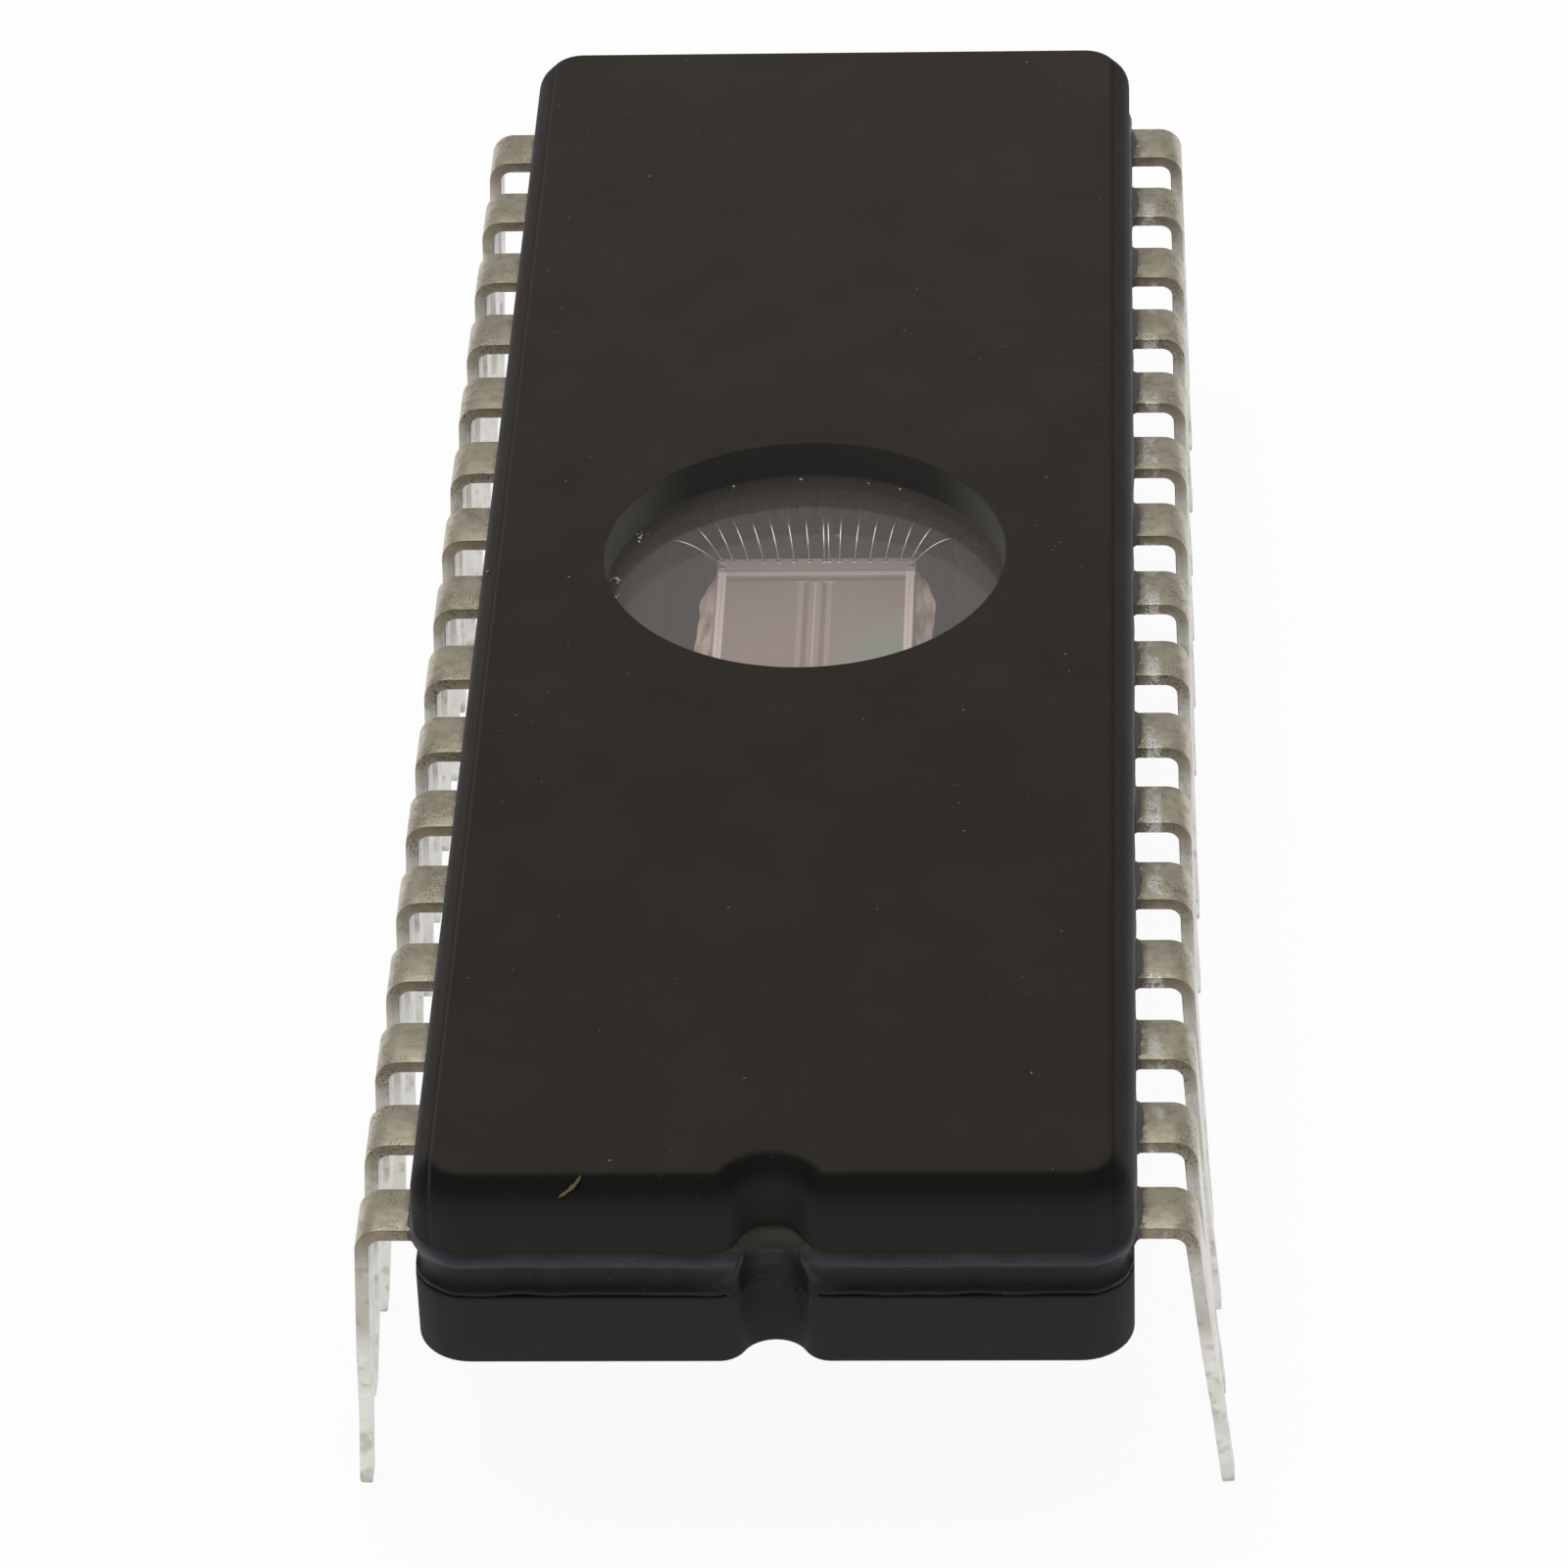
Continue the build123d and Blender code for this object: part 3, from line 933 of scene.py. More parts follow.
@dataclass
class Shell:
    """Points in millimetres and the four-sided faces between them."""

    points: np.ndarray
    faces: np.ndarray

    @classmethod
    def from_grid(cls, grid: np.ndarray, wrap_rows: bool = False) -> "Shell":
        """Faces over a grid of points, turned outwards. The last column joins the first.

        Face (r, c) joins the points (r, c), (r, c + 1), (r + 1, c + 1) and (r + 1, c).

        Args:
            grid: points by row and column, shape (rows, columns, 3).
            wrap_rows: whether the last row joins the first too.

        Returns:
            The shell.
        """
        rows, columns = grid.shape[:2]
        number = np.arange(rows * columns).reshape(rows, columns)
        below = np.roll(number, -1, axis=0)
        if not wrap_rows:
            number, below = number[:-1], below[:-1]
        beside, diagonal = np.roll(number, -1, axis=1), np.roll(below, -1, axis=1)
        quads = np.stack([number, beside, diagonal, below], axis=-1)
        return cls(grid.reshape(-1, 3), quads.reshape(-1, 4)).outward()

    @classmethod
    def joined(cls, shells: Sequence["Shell"]) -> "Shell":
        """All shells as one, each still closed by itself.

        Args:
            shells: the shells to join.

        Returns:
            The joined shell.
        """
        starts = np.cumsum([0] + [len(shell.points) for shell in shells[:-1]])
        faces = [shell.faces + start for shell, start in zip(shells, starts)]
        return cls(np.concatenate([shell.points for shell in shells]), np.concatenate(faces))

    def outward(self) -> "Shell":
        """The shell with its faces turned outwards.

        Six times the volume is the sum over triangles of a . (b x c). Where it is negative, every face
        is turned round.

        Returns:
            The shell, or a turned copy of it.
        """
        a, b, c, d = (self.points[self.faces[:, k]] for k in range(4))
        six_volumes = np.einsum("ij,ij->", a, np.cross(b, c)) + np.einsum("ij,ij->", a, np.cross(c, d))
        return self if six_volumes > 0 else Shell(self.points, self.faces[:, ::-1])


def make_piece(
    name: str, shell: Shell, finish: Finish, replaces: Sequence[str] = (), crease: float = 38.0
) -> bpy.types.Object:
    """Turn a shell into a piece of the object that rides on the one body.

    Args:
        name: the piece's name.
        shell: its points and faces.
        finish: its finish.
        replaces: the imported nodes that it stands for.
        crease: the angle in degrees above which an edge stays sharp.

    Returns:
        The new object.
    """
    mesh = bpy.data.meshes.new(name)
    mesh.from_pydata((shell.points * MM).tolist(), [], shell.faces.tolist())
    work = bmesh.new()
    work.from_mesh(mesh)
    bmesh.ops.remove_doubles(work, verts=work.verts, dist=SAME_POINT)
    work.to_mesh(mesh)
    work.free()
    mesh.validate()
    mesh.polygons.foreach_set("use_smooth", np.ones(len(mesh.polygons), bool))
    mesh.set_sharp_from_angle(angle=math.radians(crease))
    mesh.materials.append(finish.material())
    piece = bpy.data.objects.new(name, mesh)
    bpy.context.scene.collection.objects.link(piece)
    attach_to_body(piece, "root")
    if replaces:
        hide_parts(*replaces)
    log.info("%s: %d faces", name, len(mesh.polygons))
    return piece


def rounded(corners: Sequence[tuple[float, float, float]], steps: int = 5) -> np.ndarray:
    """A profile through corners, each softened by a small curve.

    Round a corner c with the setback s, the curve runs from p, which is s before it, to q, which is s
    after it: (1 - t)^2 p + 2 t (1 - t) c + t^2 q for t from 0 to 1.

    Args:
        corners: the two coordinates of each corner and its setback. A setback of 0 keeps it sharp.
        steps: points on each curve, less one.

    Returns:
        The profile's points, shape (n, 2).
    """
    data = np.array(corners, float)
    pieces = []
    for i, (u, v, setback) in enumerate(data):
        corner = np.array([u, v])
        if setback == 0:
            pieces.append(corner[None])
            continue
        before, after = data[i - 1, :2] - corner, data[i + 1, :2] - corner
        start = corner + before / np.linalg.norm(before) * setback
        end = corner + after / np.linalg.norm(after) * setback
        t = np.linspace(0, 1, steps + 1)[:, None]
        pieces.append((1 - t) ** 2 * start + 2 * t * (1 - t) * corner + t**2 * end)
    return np.concatenate(pieces)


def wander(turn: np.ndarray, waves: Sequence[int], seed: int) -> np.ndarray:
    """A smooth closed wobble from about -1 to 1: a sum of sines of whole wave counts.

    Args:
        turn: the place on the closed path, from 0 to 1.
        waves: the whole numbers of waves in a turn.
        seed: picks the phases.

    Returns:
        The wobble at each place.
    """
    phases = np.random.default_rng(seed).uniform(0, 2 * np.pi, len(waves))
    angles = 2 * np.pi * np.multiply.outer(turn, waves) + phases
    return np.sin(angles).sum(axis=-1) / math.sqrt(len(waves))


@dataclass(frozen=True)
class RoundedPlan:
    """A rounded rectangle in plan, walked anticlockwise with its outward normals."""

    half_x: float
    half_y: float
    corner: float
    centre_x: float = 0.0
    step: float = 0.25
    corner_steps: int = 12

    def arc(
        self, centre: Pair, radius: float, start: float, end: float, outward: int = 1
    ) -> tuple[np.ndarray, np.ndarray]:
        """Points centre + radius (cos a, sin a) for angles a, and their normals.

        Args:
            centre: the arc's centre.
            radius: its radius.
            start: its first angle, in degrees.
            end: its last angle, which belongs to the next stretch.
            outward: 1 where the normals leave the centre, and -1 where they point to it.

        Returns:
            The points and the normals.
        """
        angles = np.radians(np.linspace(start, end, self.corner_steps, endpoint=False))
        spokes = np.stack([np.cos(angles), np.sin(angles)], axis=1)
        return np.array(centre) + radius * spokes, outward * spokes

    def run(self, start: Pair, end: Pair, count: int = 0) -> tuple[np.ndarray, np.ndarray]:
        """Evenly spaced points from start up to end, with the normal on the right of the run.

        Args:
            start: the first point.
            end: where the next stretch starts.
            count: how many points there are, or 0 for one at each step.

        Returns:
            The points and the normals.
        """
        first, last = np.array(start, float), np.array(end, float)
        way = last - first
        length = np.linalg.norm(way)
        count = count or max(1, math.ceil(length / self.step))
        t = np.linspace(0, 1, count, endpoint=False)[:, None]
        normal = np.array([way[1], -way[0]]) / length
        return first + way * t, np.tile(normal, (count, 1))

    def near_end(self) -> list[tuple[np.ndarray, np.ndarray]]:
        """The stretch along the -Y end, between its two corners."""
        inner = self.half_x - self.corner
        return [self.run((-inner, -self.half_y), (inner, -self.half_y))]

    def walk(self) -> tuple[np.ndarray, np.ndarray]:
        """Points and outward normals all the way round, from the left end of the -Y side.

        Returns:
            The points and the normals.
        """
        a, b, c = self.half_x, self.half_y, self.corner
        stretches = self.near_end() + [
            self.arc((a - c, c - b), c, -90, 0),
            self.run((a, c - b), (a, b - c)),
            self.arc((a - c, b - c), c, 0, 90),
            self.run((a - c, b), (c - a, b)),
            self.arc((c - a, b - c), c, 90, 180),
            self.run((-a, b - c), (-a, c - b)),
            self.arc((c - a, c - b), c, 180, 270),
        ]
        points = np.concatenate([points for points, _ in stretches])
        return points + (self.centre_x, 0), np.concatenate([normals for _, normals in stretches])

    def sweep(self, profile: np.ndarray) -> np.ndarray:
        """The profile carried along the outline: point less inset times normal, at each height.

        Args:
            profile: insets from the outline and heights, shape (rows, 2).

        Returns:
            Grid of points, shape (rows, places, 3).
        """
        points, normals = self.walk()
        plan = points[None] - profile[:, 0, None, None] * normals[None]
        height = np.broadcast_to(profile[:, 1, None, None], (*plan.shape[:2], 1))
        return np.concatenate([plan, height], axis=2)


@dataclass(frozen=True)
class NotchedPlan(RoundedPlan):
    """The body's plan, with a half-round notch in the -Y end. Glass may fill some of the notch.

    notch and mouth are radii. fill is how far the notch's centre is moved out of the body.
    """

    notch: float = 0.62
    mouth: float = 0.55
    fill: float = 0.0
    end_count: int = 20

    def near_end(self) -> list[tuple[np.ndarray, np.ndarray]]:
        """Run, mouth curve, notch, mouth curve, run. Each mouth curve touches the end and the notch.

        Returns:
            The points and the normals of each stretch.
        """
        inner, b, r, m = self.half_x - self.corner, self.half_y, self.notch, self.mouth
        rise = m + self.fill
        reach = math.sqrt((r + m) ** 2 - rise**2)
        lean = math.degrees(math.atan2(rise, reach))
        return [
            self.run((-inner, -b), (-reach, -b), self.end_count),
            self.arc((-reach, m - b), m, -90, -lean),
            self.arc((0, -b - self.fill), r, 180 - lean, lean, outward=-1),
            self.arc((reach, m - b), m, lean - 180, -90),
            self.run((reach, -b), (inner, -b), self.end_count),
        ]


def round_hole(radius: np.ndarray, angles: np.ndarray, height: np.ndarray) -> np.ndarray:
    """Rows of a round hole: radius (cos a, sin a) at each height.

    Args:
        radius: radius of each row.
        angles: angle of each column, in radians.
        height: height of each row.

    Returns:
        Grid of points, shape (rows, columns, 3).
    """
    spokes = np.stack([np.cos(angles), np.sin(angles)], axis=1)
    plan = radius[:, None, None] * spokes[None]
    return np.concatenate([plan, np.broadcast_to(height[:, None, None], (*plan.shape[:2], 1))], axis=2)


def square_hole(half: Pair, angles: np.ndarray, height: float, power: int = 20) -> np.ndarray:
    """One row of a nearly rectangular hole: the curve |x / a|^p + |y / b|^p = 1 at a height.

    Args:
        half: the half sizes a and b.
        angles: angle of each column, in radians.
        height: the row's height.
        power: the power p. The higher it is, the sharper the corners.

    Returns:
        Grid of one row, shape (1, columns, 3).
    """
    x, y = np.cos(angles), np.sin(angles)
    radius = (np.abs(x / half[0]) ** power + np.abs(y / half[1]) ** power) ** (-1 / power)
    return np.stack([radius * x, radius * y, np.full_like(x, height)], axis=1)[None]


def pole(like: np.ndarray, x: float, y: float, z: float) -> np.ndarray:
    """A row of the same point, which closes a grid at its middle."""
    return np.broadcast_to(np.array([x, y, z], float), (1, like.shape[1], 3))


@dataclass(frozen=True)
class Levels:
    """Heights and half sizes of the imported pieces, in millimetres."""

    half_width: float
    half_length: float
    base_bottom: float
    base_top: float
    cap_bottom: float
    cap_top: float
    lead_top: float
    window_top: float
    window_radius: float
    cavity_floor: float
    die_low: tuple[float, float, float]
    die_high: tuple[float, float, float]

    @classmethod
    def from_frame(cls) -> "Levels":
        """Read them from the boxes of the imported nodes.

        Returns:
            The levels.
        """
        cap_low, cap_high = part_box("ceramic_cap")
        base_low, base_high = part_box("ceramic_base")
        window_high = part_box("quartz_window")[1]
        die_low, die_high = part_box("die")
        return cls(
            half_width=cap_high.x / MM,
            half_length=cap_high.y / MM,
            base_bottom=base_low.z / MM,
            base_top=base_high.z / MM,
            cap_bottom=cap_low.z / MM,
            cap_top=cap_high.z / MM,
            lead_top=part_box("lead_01")[1].z / MM,
            window_top=window_high.z / MM,
            window_radius=window_high.x / MM,
            cavity_floor=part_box("die_attach")[0].z / MM,
            die_low=tuple(value / MM for value in die_low),
            die_high=tuple(value / MM for value in die_high),
        )


@dataclass
class CeramicShells:
    """The pressed cap with its window hole, and the pressed base with the die's cavity.

    An ease is the setback of a small curve at an edge. dust_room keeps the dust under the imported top.
    """

    levels: Levels
    finish: PressedCeramic
    corner: float = 1.0
    crown_drop: float = 0.50
    crown_inset: float = 0.40
    crown_ease: float = 0.12
    crown_foot_ease: float = 0.26
    crown_end_extra: float = 0.15
    end_reach: float = 1.75
    end_blend: float = 0.5
    dust_room: float = 0.014
    lip_ease: float = 0.03
    wall_ease: float = 0.05
    hole_ease: float = 0.045
    hole_margin: float = 0.15
    foot_bevel: float = 0.07
    foot_ease: float = 0.04
    foot_margin: float = 0.10
    top_margin: float = 0.12
    cavity: Pair = (2.995, 3.75)
    cavity_bevel: float = 0.03
    cavity_fillet: float = 0.06

    def plan(self) -> NotchedPlan:
        """The outline of both pieces."""
        return NotchedPlan(self.levels.half_width, self.levels.half_length, self.corner)

    def cap(self) -> bpy.types.Object:
        """Wall and crown carried round the outline, then across the top and down the window's hole.

        The crown edge reaches in further at the two ends than along the sides. There the crown, with
        the notch in it, is shifted along the body by the extra.

        Returns:
            The cap's object.
        """
        low, radius = self.levels.cap_bottom, self.levels.window_radius
        high = self.levels.cap_top - self.dust_room
        skin = rounded(
            [
                (self.wall_ease, low, 0),
                (0, low, self.lip_ease),
                (0, high - self.crown_drop, self.crown_foot_ease),
                (self.crown_inset, high, self.crown_ease),
                (self.crown_inset + self.crown_ease, high, 0),
            ]
        )
        outer = self.plan().sweep(skin)
        above_lip = skin[:, 1] > high - 2 * self.crown_drop
        share = np.clip(skin[:, 0] / self.crown_inset, 0, 1) * above_lip
        y = outer[:, :, 1]
        at_end = np.clip((np.abs(y) - self.levels.half_length + self.end_reach) / self.end_blend, 0, 1)
        outer[:, :, 1] = y - np.sign(y) * self.crown_end_extra * share[:, None] * at_end
        angles = np.arctan2(outer[-1, :, 1], outer[-1, :, 0])
        hole = rounded(
            [(radius + self.hole_margin, high, 0), (radius, high, self.hole_ease), (radius, low, 0)]
        )
        inner = round_hole(hole[:, 0], angles, hole[:, 1])
        shell = Shell.from_grid(np.concatenate([outer, inner]), wrap_rows=True)
        return make_piece("pressed_cap", shell, self.finish, ["ceramic_cap"])

    def base(self) -> bpy.types.Object:
        """Wall and foot bevel round the outline, closed below, with the cavity sunk in the top.

        Returns:
            The base's object.
        """
        low, high = self.levels.base_bottom, self.levels.base_top
        skin = rounded(
            [
                (self.foot_bevel + self.foot_margin, low, 0),
                (self.foot_bevel, low, self.foot_ease),
                (0, low + self.foot_bevel, self.wall_ease),
                (0, high, self.wall_ease),
                (self.top_margin, high, 0),
            ]
        )
        outer = self.plan().sweep(skin)
        angles = np.arctan2(outer[-1, :, 1], outer[-1, :, 0])
        (half_x, half_y), floor = self.cavity, self.levels.cavity_floor
        bevel, fillet = self.cavity_bevel, self.cavity_fillet
        rows = [
            pole(outer, 0, 0, low),
            outer,
            square_hole((half_x + bevel, half_y + bevel), angles, high),
            square_hole((half_x, half_y), angles, high - bevel),
            square_hole((half_x, half_y), angles, floor + fillet),
            square_hole((half_x - fillet, half_y - fillet), angles, floor),
            pole(outer, 0, 0, floor),
        ]
        shell = Shell.from_grid(np.concatenate(rows))
        return make_piece("pressed_base", shell, self.finish, ["ceramic_base"])


@dataclass
class SealFrame:
    """The seal glass: a bead under the cap, a valley with the leads in it, and a lip on the base.

    Waves and sinks are heights in millimetres. A reach and a soft are where an effect stops, and the
    distance over which it fades.
    """

    levels: Levels
    finish: SealGlass
    corner: float = 1.0
    notch_fill: float = 0.30
    mouth: float = 0.24
    opening: Pair = (4.295, 5.25)
    cavity: Pair = (2.995, 3.75)
    lead_thickness: float = 0.25
    fill_start: float = 0.30
    fill_soft: float = 0.60
    flat_share: float = 0.85
    flat_reach: float = 1.05
    flat_soft: float = 0.40
    notch_lap: float = 0.30
    lap_proud: float = 0.018
    lap_reach: float = 0.84
    lap_soft: float = 0.12
    bead_wave: float = 0.035
    bead_height: float = 0.35
    corner_wave: float = 1.4
    lip_wave: float = 0.012
    sink: float = 0.016
    slow_waves: tuple[int, ...] = (9, 14, 23, 31)
    quick_waves: tuple[int, ...] = (47, 61, 83, 107)

    def skin(self) -> np.ndarray:
        """The outer profile: bead, valley and lip from the top down, each corner eased.

        Returns:
            Insets from the body's outline and heights, shape (rows, 2).
        """
        cap, base = self.levels.cap_bottom, self.levels.base_top
        return rounded(
            [
                (0.42, cap + 0.25, 0),
                (0.20, cap + 0.21, 0.08),
                (0.03, cap + 0.10, 0.06),
                (-0.066, cap - 0.03, 0.07),
                (-0.072, cap - 0.20, 0.08),
                (0.05, cap - 0.42, 0.10),
                (0.11, cap - 0.66, 0.09),
                (0.04, base + 0.19, 0.05),
                (0.0, base + 0.14, 0.03),
                (0.01, base + 0.04, 0.025),
                (0.20, base, 0),
            ],
            steps=4,
        )

    def notched(self, skin: np.ndarray, open_plan: NotchedPlan, filled_plan: NotchedPlan) -> np.ndarray:
        """The profile carried round a plan that goes from open below to partly filled above.

        A row's plan is open (1 - s) + filled s, where s grows with its height. Inside the notch the
        profile's hollows and bulges are flattened, and the lowest rows lap over the base's edge.

        Args:
            skin: insets and heights.
            open_plan: the outline with the base's open notch.
            filled_plan: the outline with glass in the notch.

        Returns:
            Grid of points, shape (rows, places, 3).
        """
        base = self.levels.base_top
        filled = np.clip((skin[:, 1] - base - self.fill_start) / self.fill_soft, 0, 1)[:, None, None]
        grid = open_plan.sweep(skin) * (1 - filled) + filled_plan.sweep(skin) * filled
        points, normals = filled_plan.walk()
        within = np.clip((self.flat_reach - np.abs(points[:, 0])) / self.flat_soft, 0, 1) * (points[:, 1] < 0)
        between = (skin[:, 1] < self.levels.cap_bottom + 0.05) * (skin[:, 1] > base + 0.1)
        flat = skin[:, 0] * self.flat_share * between
        grid[:, :, :2] += (flat[:, None] * within)[..., None] * normals
        points, normals = open_plan.walk()
        within = np.clip((self.lap_reach - np.abs(points[:, 0])) / self.lap_soft, 0, 1) * (points[:, 1] < 0)
        lap = np.clip((base + 0.17 - skin[:, 1]) / 0.1, 0, 1)[:, None] * within
        grid[:-1, :, :2] += (self.lap_proud * lap[:-1])[..., None] * normals
        grid[:, :, 2] -= self.notch_lap * lap
        return grid

    def waved(self, grid: np.ndarray, skin: np.ndarray, plan: NotchedPlan) -> np.ndarray:
        """Let the bead and the lip wander up and down, and sink the face by a varying depth.

        The bead's wave is larger at the body's corners, where both parts of the normal are large.

        Args:
            grid: the points.
            skin: insets and heights of its rows.
            plan: the outline that gives the normals.

        Returns:
            The wavy grid.
        """
        points, normals = plan.walk()
        turn = np.linspace(0, 1, grid.shape[1], endpoint=False)
        slow = wander(turn, self.slow_waves, seed=3)
        quick = wander(turn, self.quick_waves, seed=5)
        above = skin[:, 1] - self.levels.cap_bottom + self.bead_height
        high = np.clip(above / self.bead_height, 0, 1)[:, None]
        bend = 1 + self.corner_wave * np.abs(normals[:, 0] * normals[:, 1]) * (np.abs(points[:, 0]) > 3)
        grid[:, :, 2] += self.bead_wave * bend * high * (0.6 * slow + 0.4 * quick)
        low = np.clip((self.levels.base_top + 0.22 - skin[:, 1]) / 0.1, 0, 1)[:, None]
        grid[:, :, 2] += self.lip_wave * low * quick
        sink = self.sink * (1 + 0.6 * slow + 0.4 * quick).clip(0)
        grid[1:-1, :, :2] -= sink[None, :, None] * normals[None]
        return grid

    def band(self) -> Shell:
        """The glass all round, with the opening over the die through it and the cavity's edge below.

        Returns:
            The closed band.
        """
        half_x, half_y = self.levels.half_width, self.levels.half_length
        open_plan = NotchedPlan(half_x, half_y, self.corner)
        filled_plan = NotchedPlan(half_x, half_y, self.corner, mouth=self.mouth, fill=self.notch_fill)
        skin = self.skin()
        grid = self.waved(self.notched(skin, open_plan, filled_plan), skin, filled_plan)
        angles = np.arctan2(grid[-1, :, 1], grid[-1, :, 0])
        shelf, bevel = self.levels.lead_top - self.lead_thickness, 0.02
        rows = [
            grid,
            square_hole(self.cavity, angles, self.levels.base_top),
            square_hole(self.cavity, angles, shelf - bevel),
            square_hole((self.cavity[0] + bevel, self.cavity[1] + bevel), angles, shelf),
            square_hole(self.opening, angles, shelf),
            square_hole(self.opening, angles, self.levels.cap_bottom),
        ]
        return Shell.from_grid(np.concatenate(rows), wrap_rows=True)


@dataclass
class LeadFrame:
    """The formed leads: finger, trace, shoulder, bend, blade, taper and leg, each from one strip.

    A lead is named by its side and its index, which is 0 next to the notch. Its rank counts from the
    nearer end of the row. The leans are degrees, and every other size is millimetres.
    """

    levels: Levels
    finish: LeadMetal
    per_row: int = 16
    pitch: float = 2.54
    row_shift: float = 0.45
    thickness: float = 0.25
    blade_width: float = 1.24
    shoulder: float = 1.15
    inner_bend: float = 0.25
    bend_steps: int = 10
    seat_height: float = 3.60
    seat_ease: float = 0.12
    taper: float = 1.90
    taper_ease: float = 0.15
    leg_width: float = 0.46
    blade_stations: tuple[float, ...] = (5.6, 5.0, 4.4)
    taper_stations: tuple[float, ...] = (3.1, 2.7, 2.2)
    leg_stations: tuple[float, ...] = (1.1, 0.6, 0.28, 0.14, 0.07, 0.03, 0.012)
    tip_widths: tuple[float, ...] = (0.99, 0.95, 0.86, 0.74, 0.62)
    tip_halves: tuple[float, ...] = (0.98, 0.92, 0.80, 0.66)
    embed: float = 1.20
    trace_width: float = 0.36
    finger_width: float = 0.22
    finger_nose: float = 0.03
    finger_first: float = 0.20
    finger_pitch: float = 0.42
    finger_gap: float = 0.12
    knee_first: float = 0.35
    knee_pitch: float = 0.60
    corner_tip: Pair = (-0.20, 0.08)
    corner_knee: float = 1.20
    side_tip: Pair = (0.12, -0.75)
    side_knee: float = 1.35
    cavity: Pair = (2.995, 3.75)
    splay: dict[Side, float] = field(default_factory=lambda: {Side.LEFT: 2.90, Side.RIGHT: 2.10})
    near_splays: dict[Side, tuple[float, ...]] = field(
        default_factory=lambda: {Side.LEFT: (2.90, 4.10, 3.90), Side.RIGHT: (6.40, 5.20, 4.75, 3.60, 2.80)}
    )
    splay_scatter: float = 0.45
    first_bow: float = 0.0
    bow_scatter: float = 0.05
    edge_top: float = 0.020
    edge_under: float = 0.018
    collar_reach: float = 0.23
    collar_spread: float = 0.19
    collar_skin: float = 0.012
    collar_power: int = 6
    collar_points: int = 40
    collar_shares: tuple[float, ...] = (-1.6, -0.6, 0.0, 0.25, 0.5, 0.75, 0.92, 1.0)
    ranks: int = field(init=False)
    scatter: np.ndarray = field(init=False)
    bows: np.ndarray = field(init=False)

    def __post_init__(self) -> None:
        """Draw each lead's own small lean and bow."""
        self.ranks = self.per_row // 2
        rng = np.random.default_rng(11)
        self.scatter = rng.uniform(0, self.splay_scatter, 2 * self.per_row)
        self.bows = rng.uniform(0, self.bow_scatter, 2 * self.per_row)
        self.bows[0] = self.first_bow

    def number(self, side: Side, index: int) -> int:
        """A lead's place round the body, from 0 at the notch along the right row and back."""
        return index if side is Side.RIGHT else 2 * self.per_row - 1 - index

    def lean(self, side: Side, index: int) -> float:
        """How far a lead's leg leans out. The ones next to the notch have been pushed.

        Args:
            side: the lead's row.
            index: its place in the row.

        Returns:
            The lean, in radians.
        """
        near = self.near_splays[side]
        if index < len(near):
            return math.radians(near[index])
        return math.radians(self.splay[side] - self.scatter[self.number(side, index)])

    def lead_y(self, index: int) -> float:
        """Y of a lead's middle. Index 0 is next to the notch."""
        return self.row_shift + (index - (self.per_row - 1) / 2) * self.pitch

    def trace(self, side: Side, index: int) -> np.ndarray:
        """The route of a lead inside the glass. The two middle ranks go to the cavity's side and corner.

        Args:
            side: the lead's row.
            index: its place in the row.

        Returns:
            Finger tip, knee and root in plan, shape (3, 2).
        """
        end = -1 if index < self.ranks else 1
        rank = min(index, self.per_row - 1 - index)
        if rank == self.ranks - 1:
            tip, knee_x = np.add(self.cavity, self.side_tip), self.cavity[0] + self.side_knee
        elif rank == self.ranks - 2:
            tip, knee_x = np.add(self.cavity, self.corner_tip), self.cavity[0] + self.corner_knee
        else:
            tip = (self.finger_first + self.finger_pitch * rank, self.cavity[1] + self.finger_gap)
            knee_x = self.knee_first + self.knee_pitch * rank
        root_x, root_y = self.levels.half_width - self.embed, abs(self.lead_y(index))
        return np.array([tip, (knee_x, root_y), (root_x, root_y)]) * (side.value, end)

    def inner_stations(self, side: Side, index: int) -> tuple[np.ndarray, ...]:
        """Sections along the trace, from its tip. At the knee the section halves the angle.

        Args:
            side: the lead's row.
            index: its place in the row.

        Returns:
            Middles, across vectors, normals, half widths and half heights.
        """
        tip, knee, root = self.trace(side, index)
        first, second = knee - tip, root - knee
        first, second = first / np.linalg.norm(first), second / np.linalg.norm(second)
        mean = (first + second) / np.linalg.norm(first + second)
        ways = np.array([first, first, mean, second])
        plan = np.array([tip, tip + first * self.finger_nose, knee, root])
        widths = np.array([self.finger_width - 0.05, self.finger_width, self.trace_width, self.trace_width])
        widths = widths / 2
        widths[2] /= float(mean @ first)
        middle = self.levels.lead_top - self.thickness / 2
        centres = np.column_stack([plan, np.full(4, middle)])
        across = np.column_stack([-ways[:, 1], ways[:, 0], np.zeros(4)])
        return centres, across, np.tile((0.0, 0.0, 1.0), (4, 1)), widths, np.full(4, self.thickness / 2)

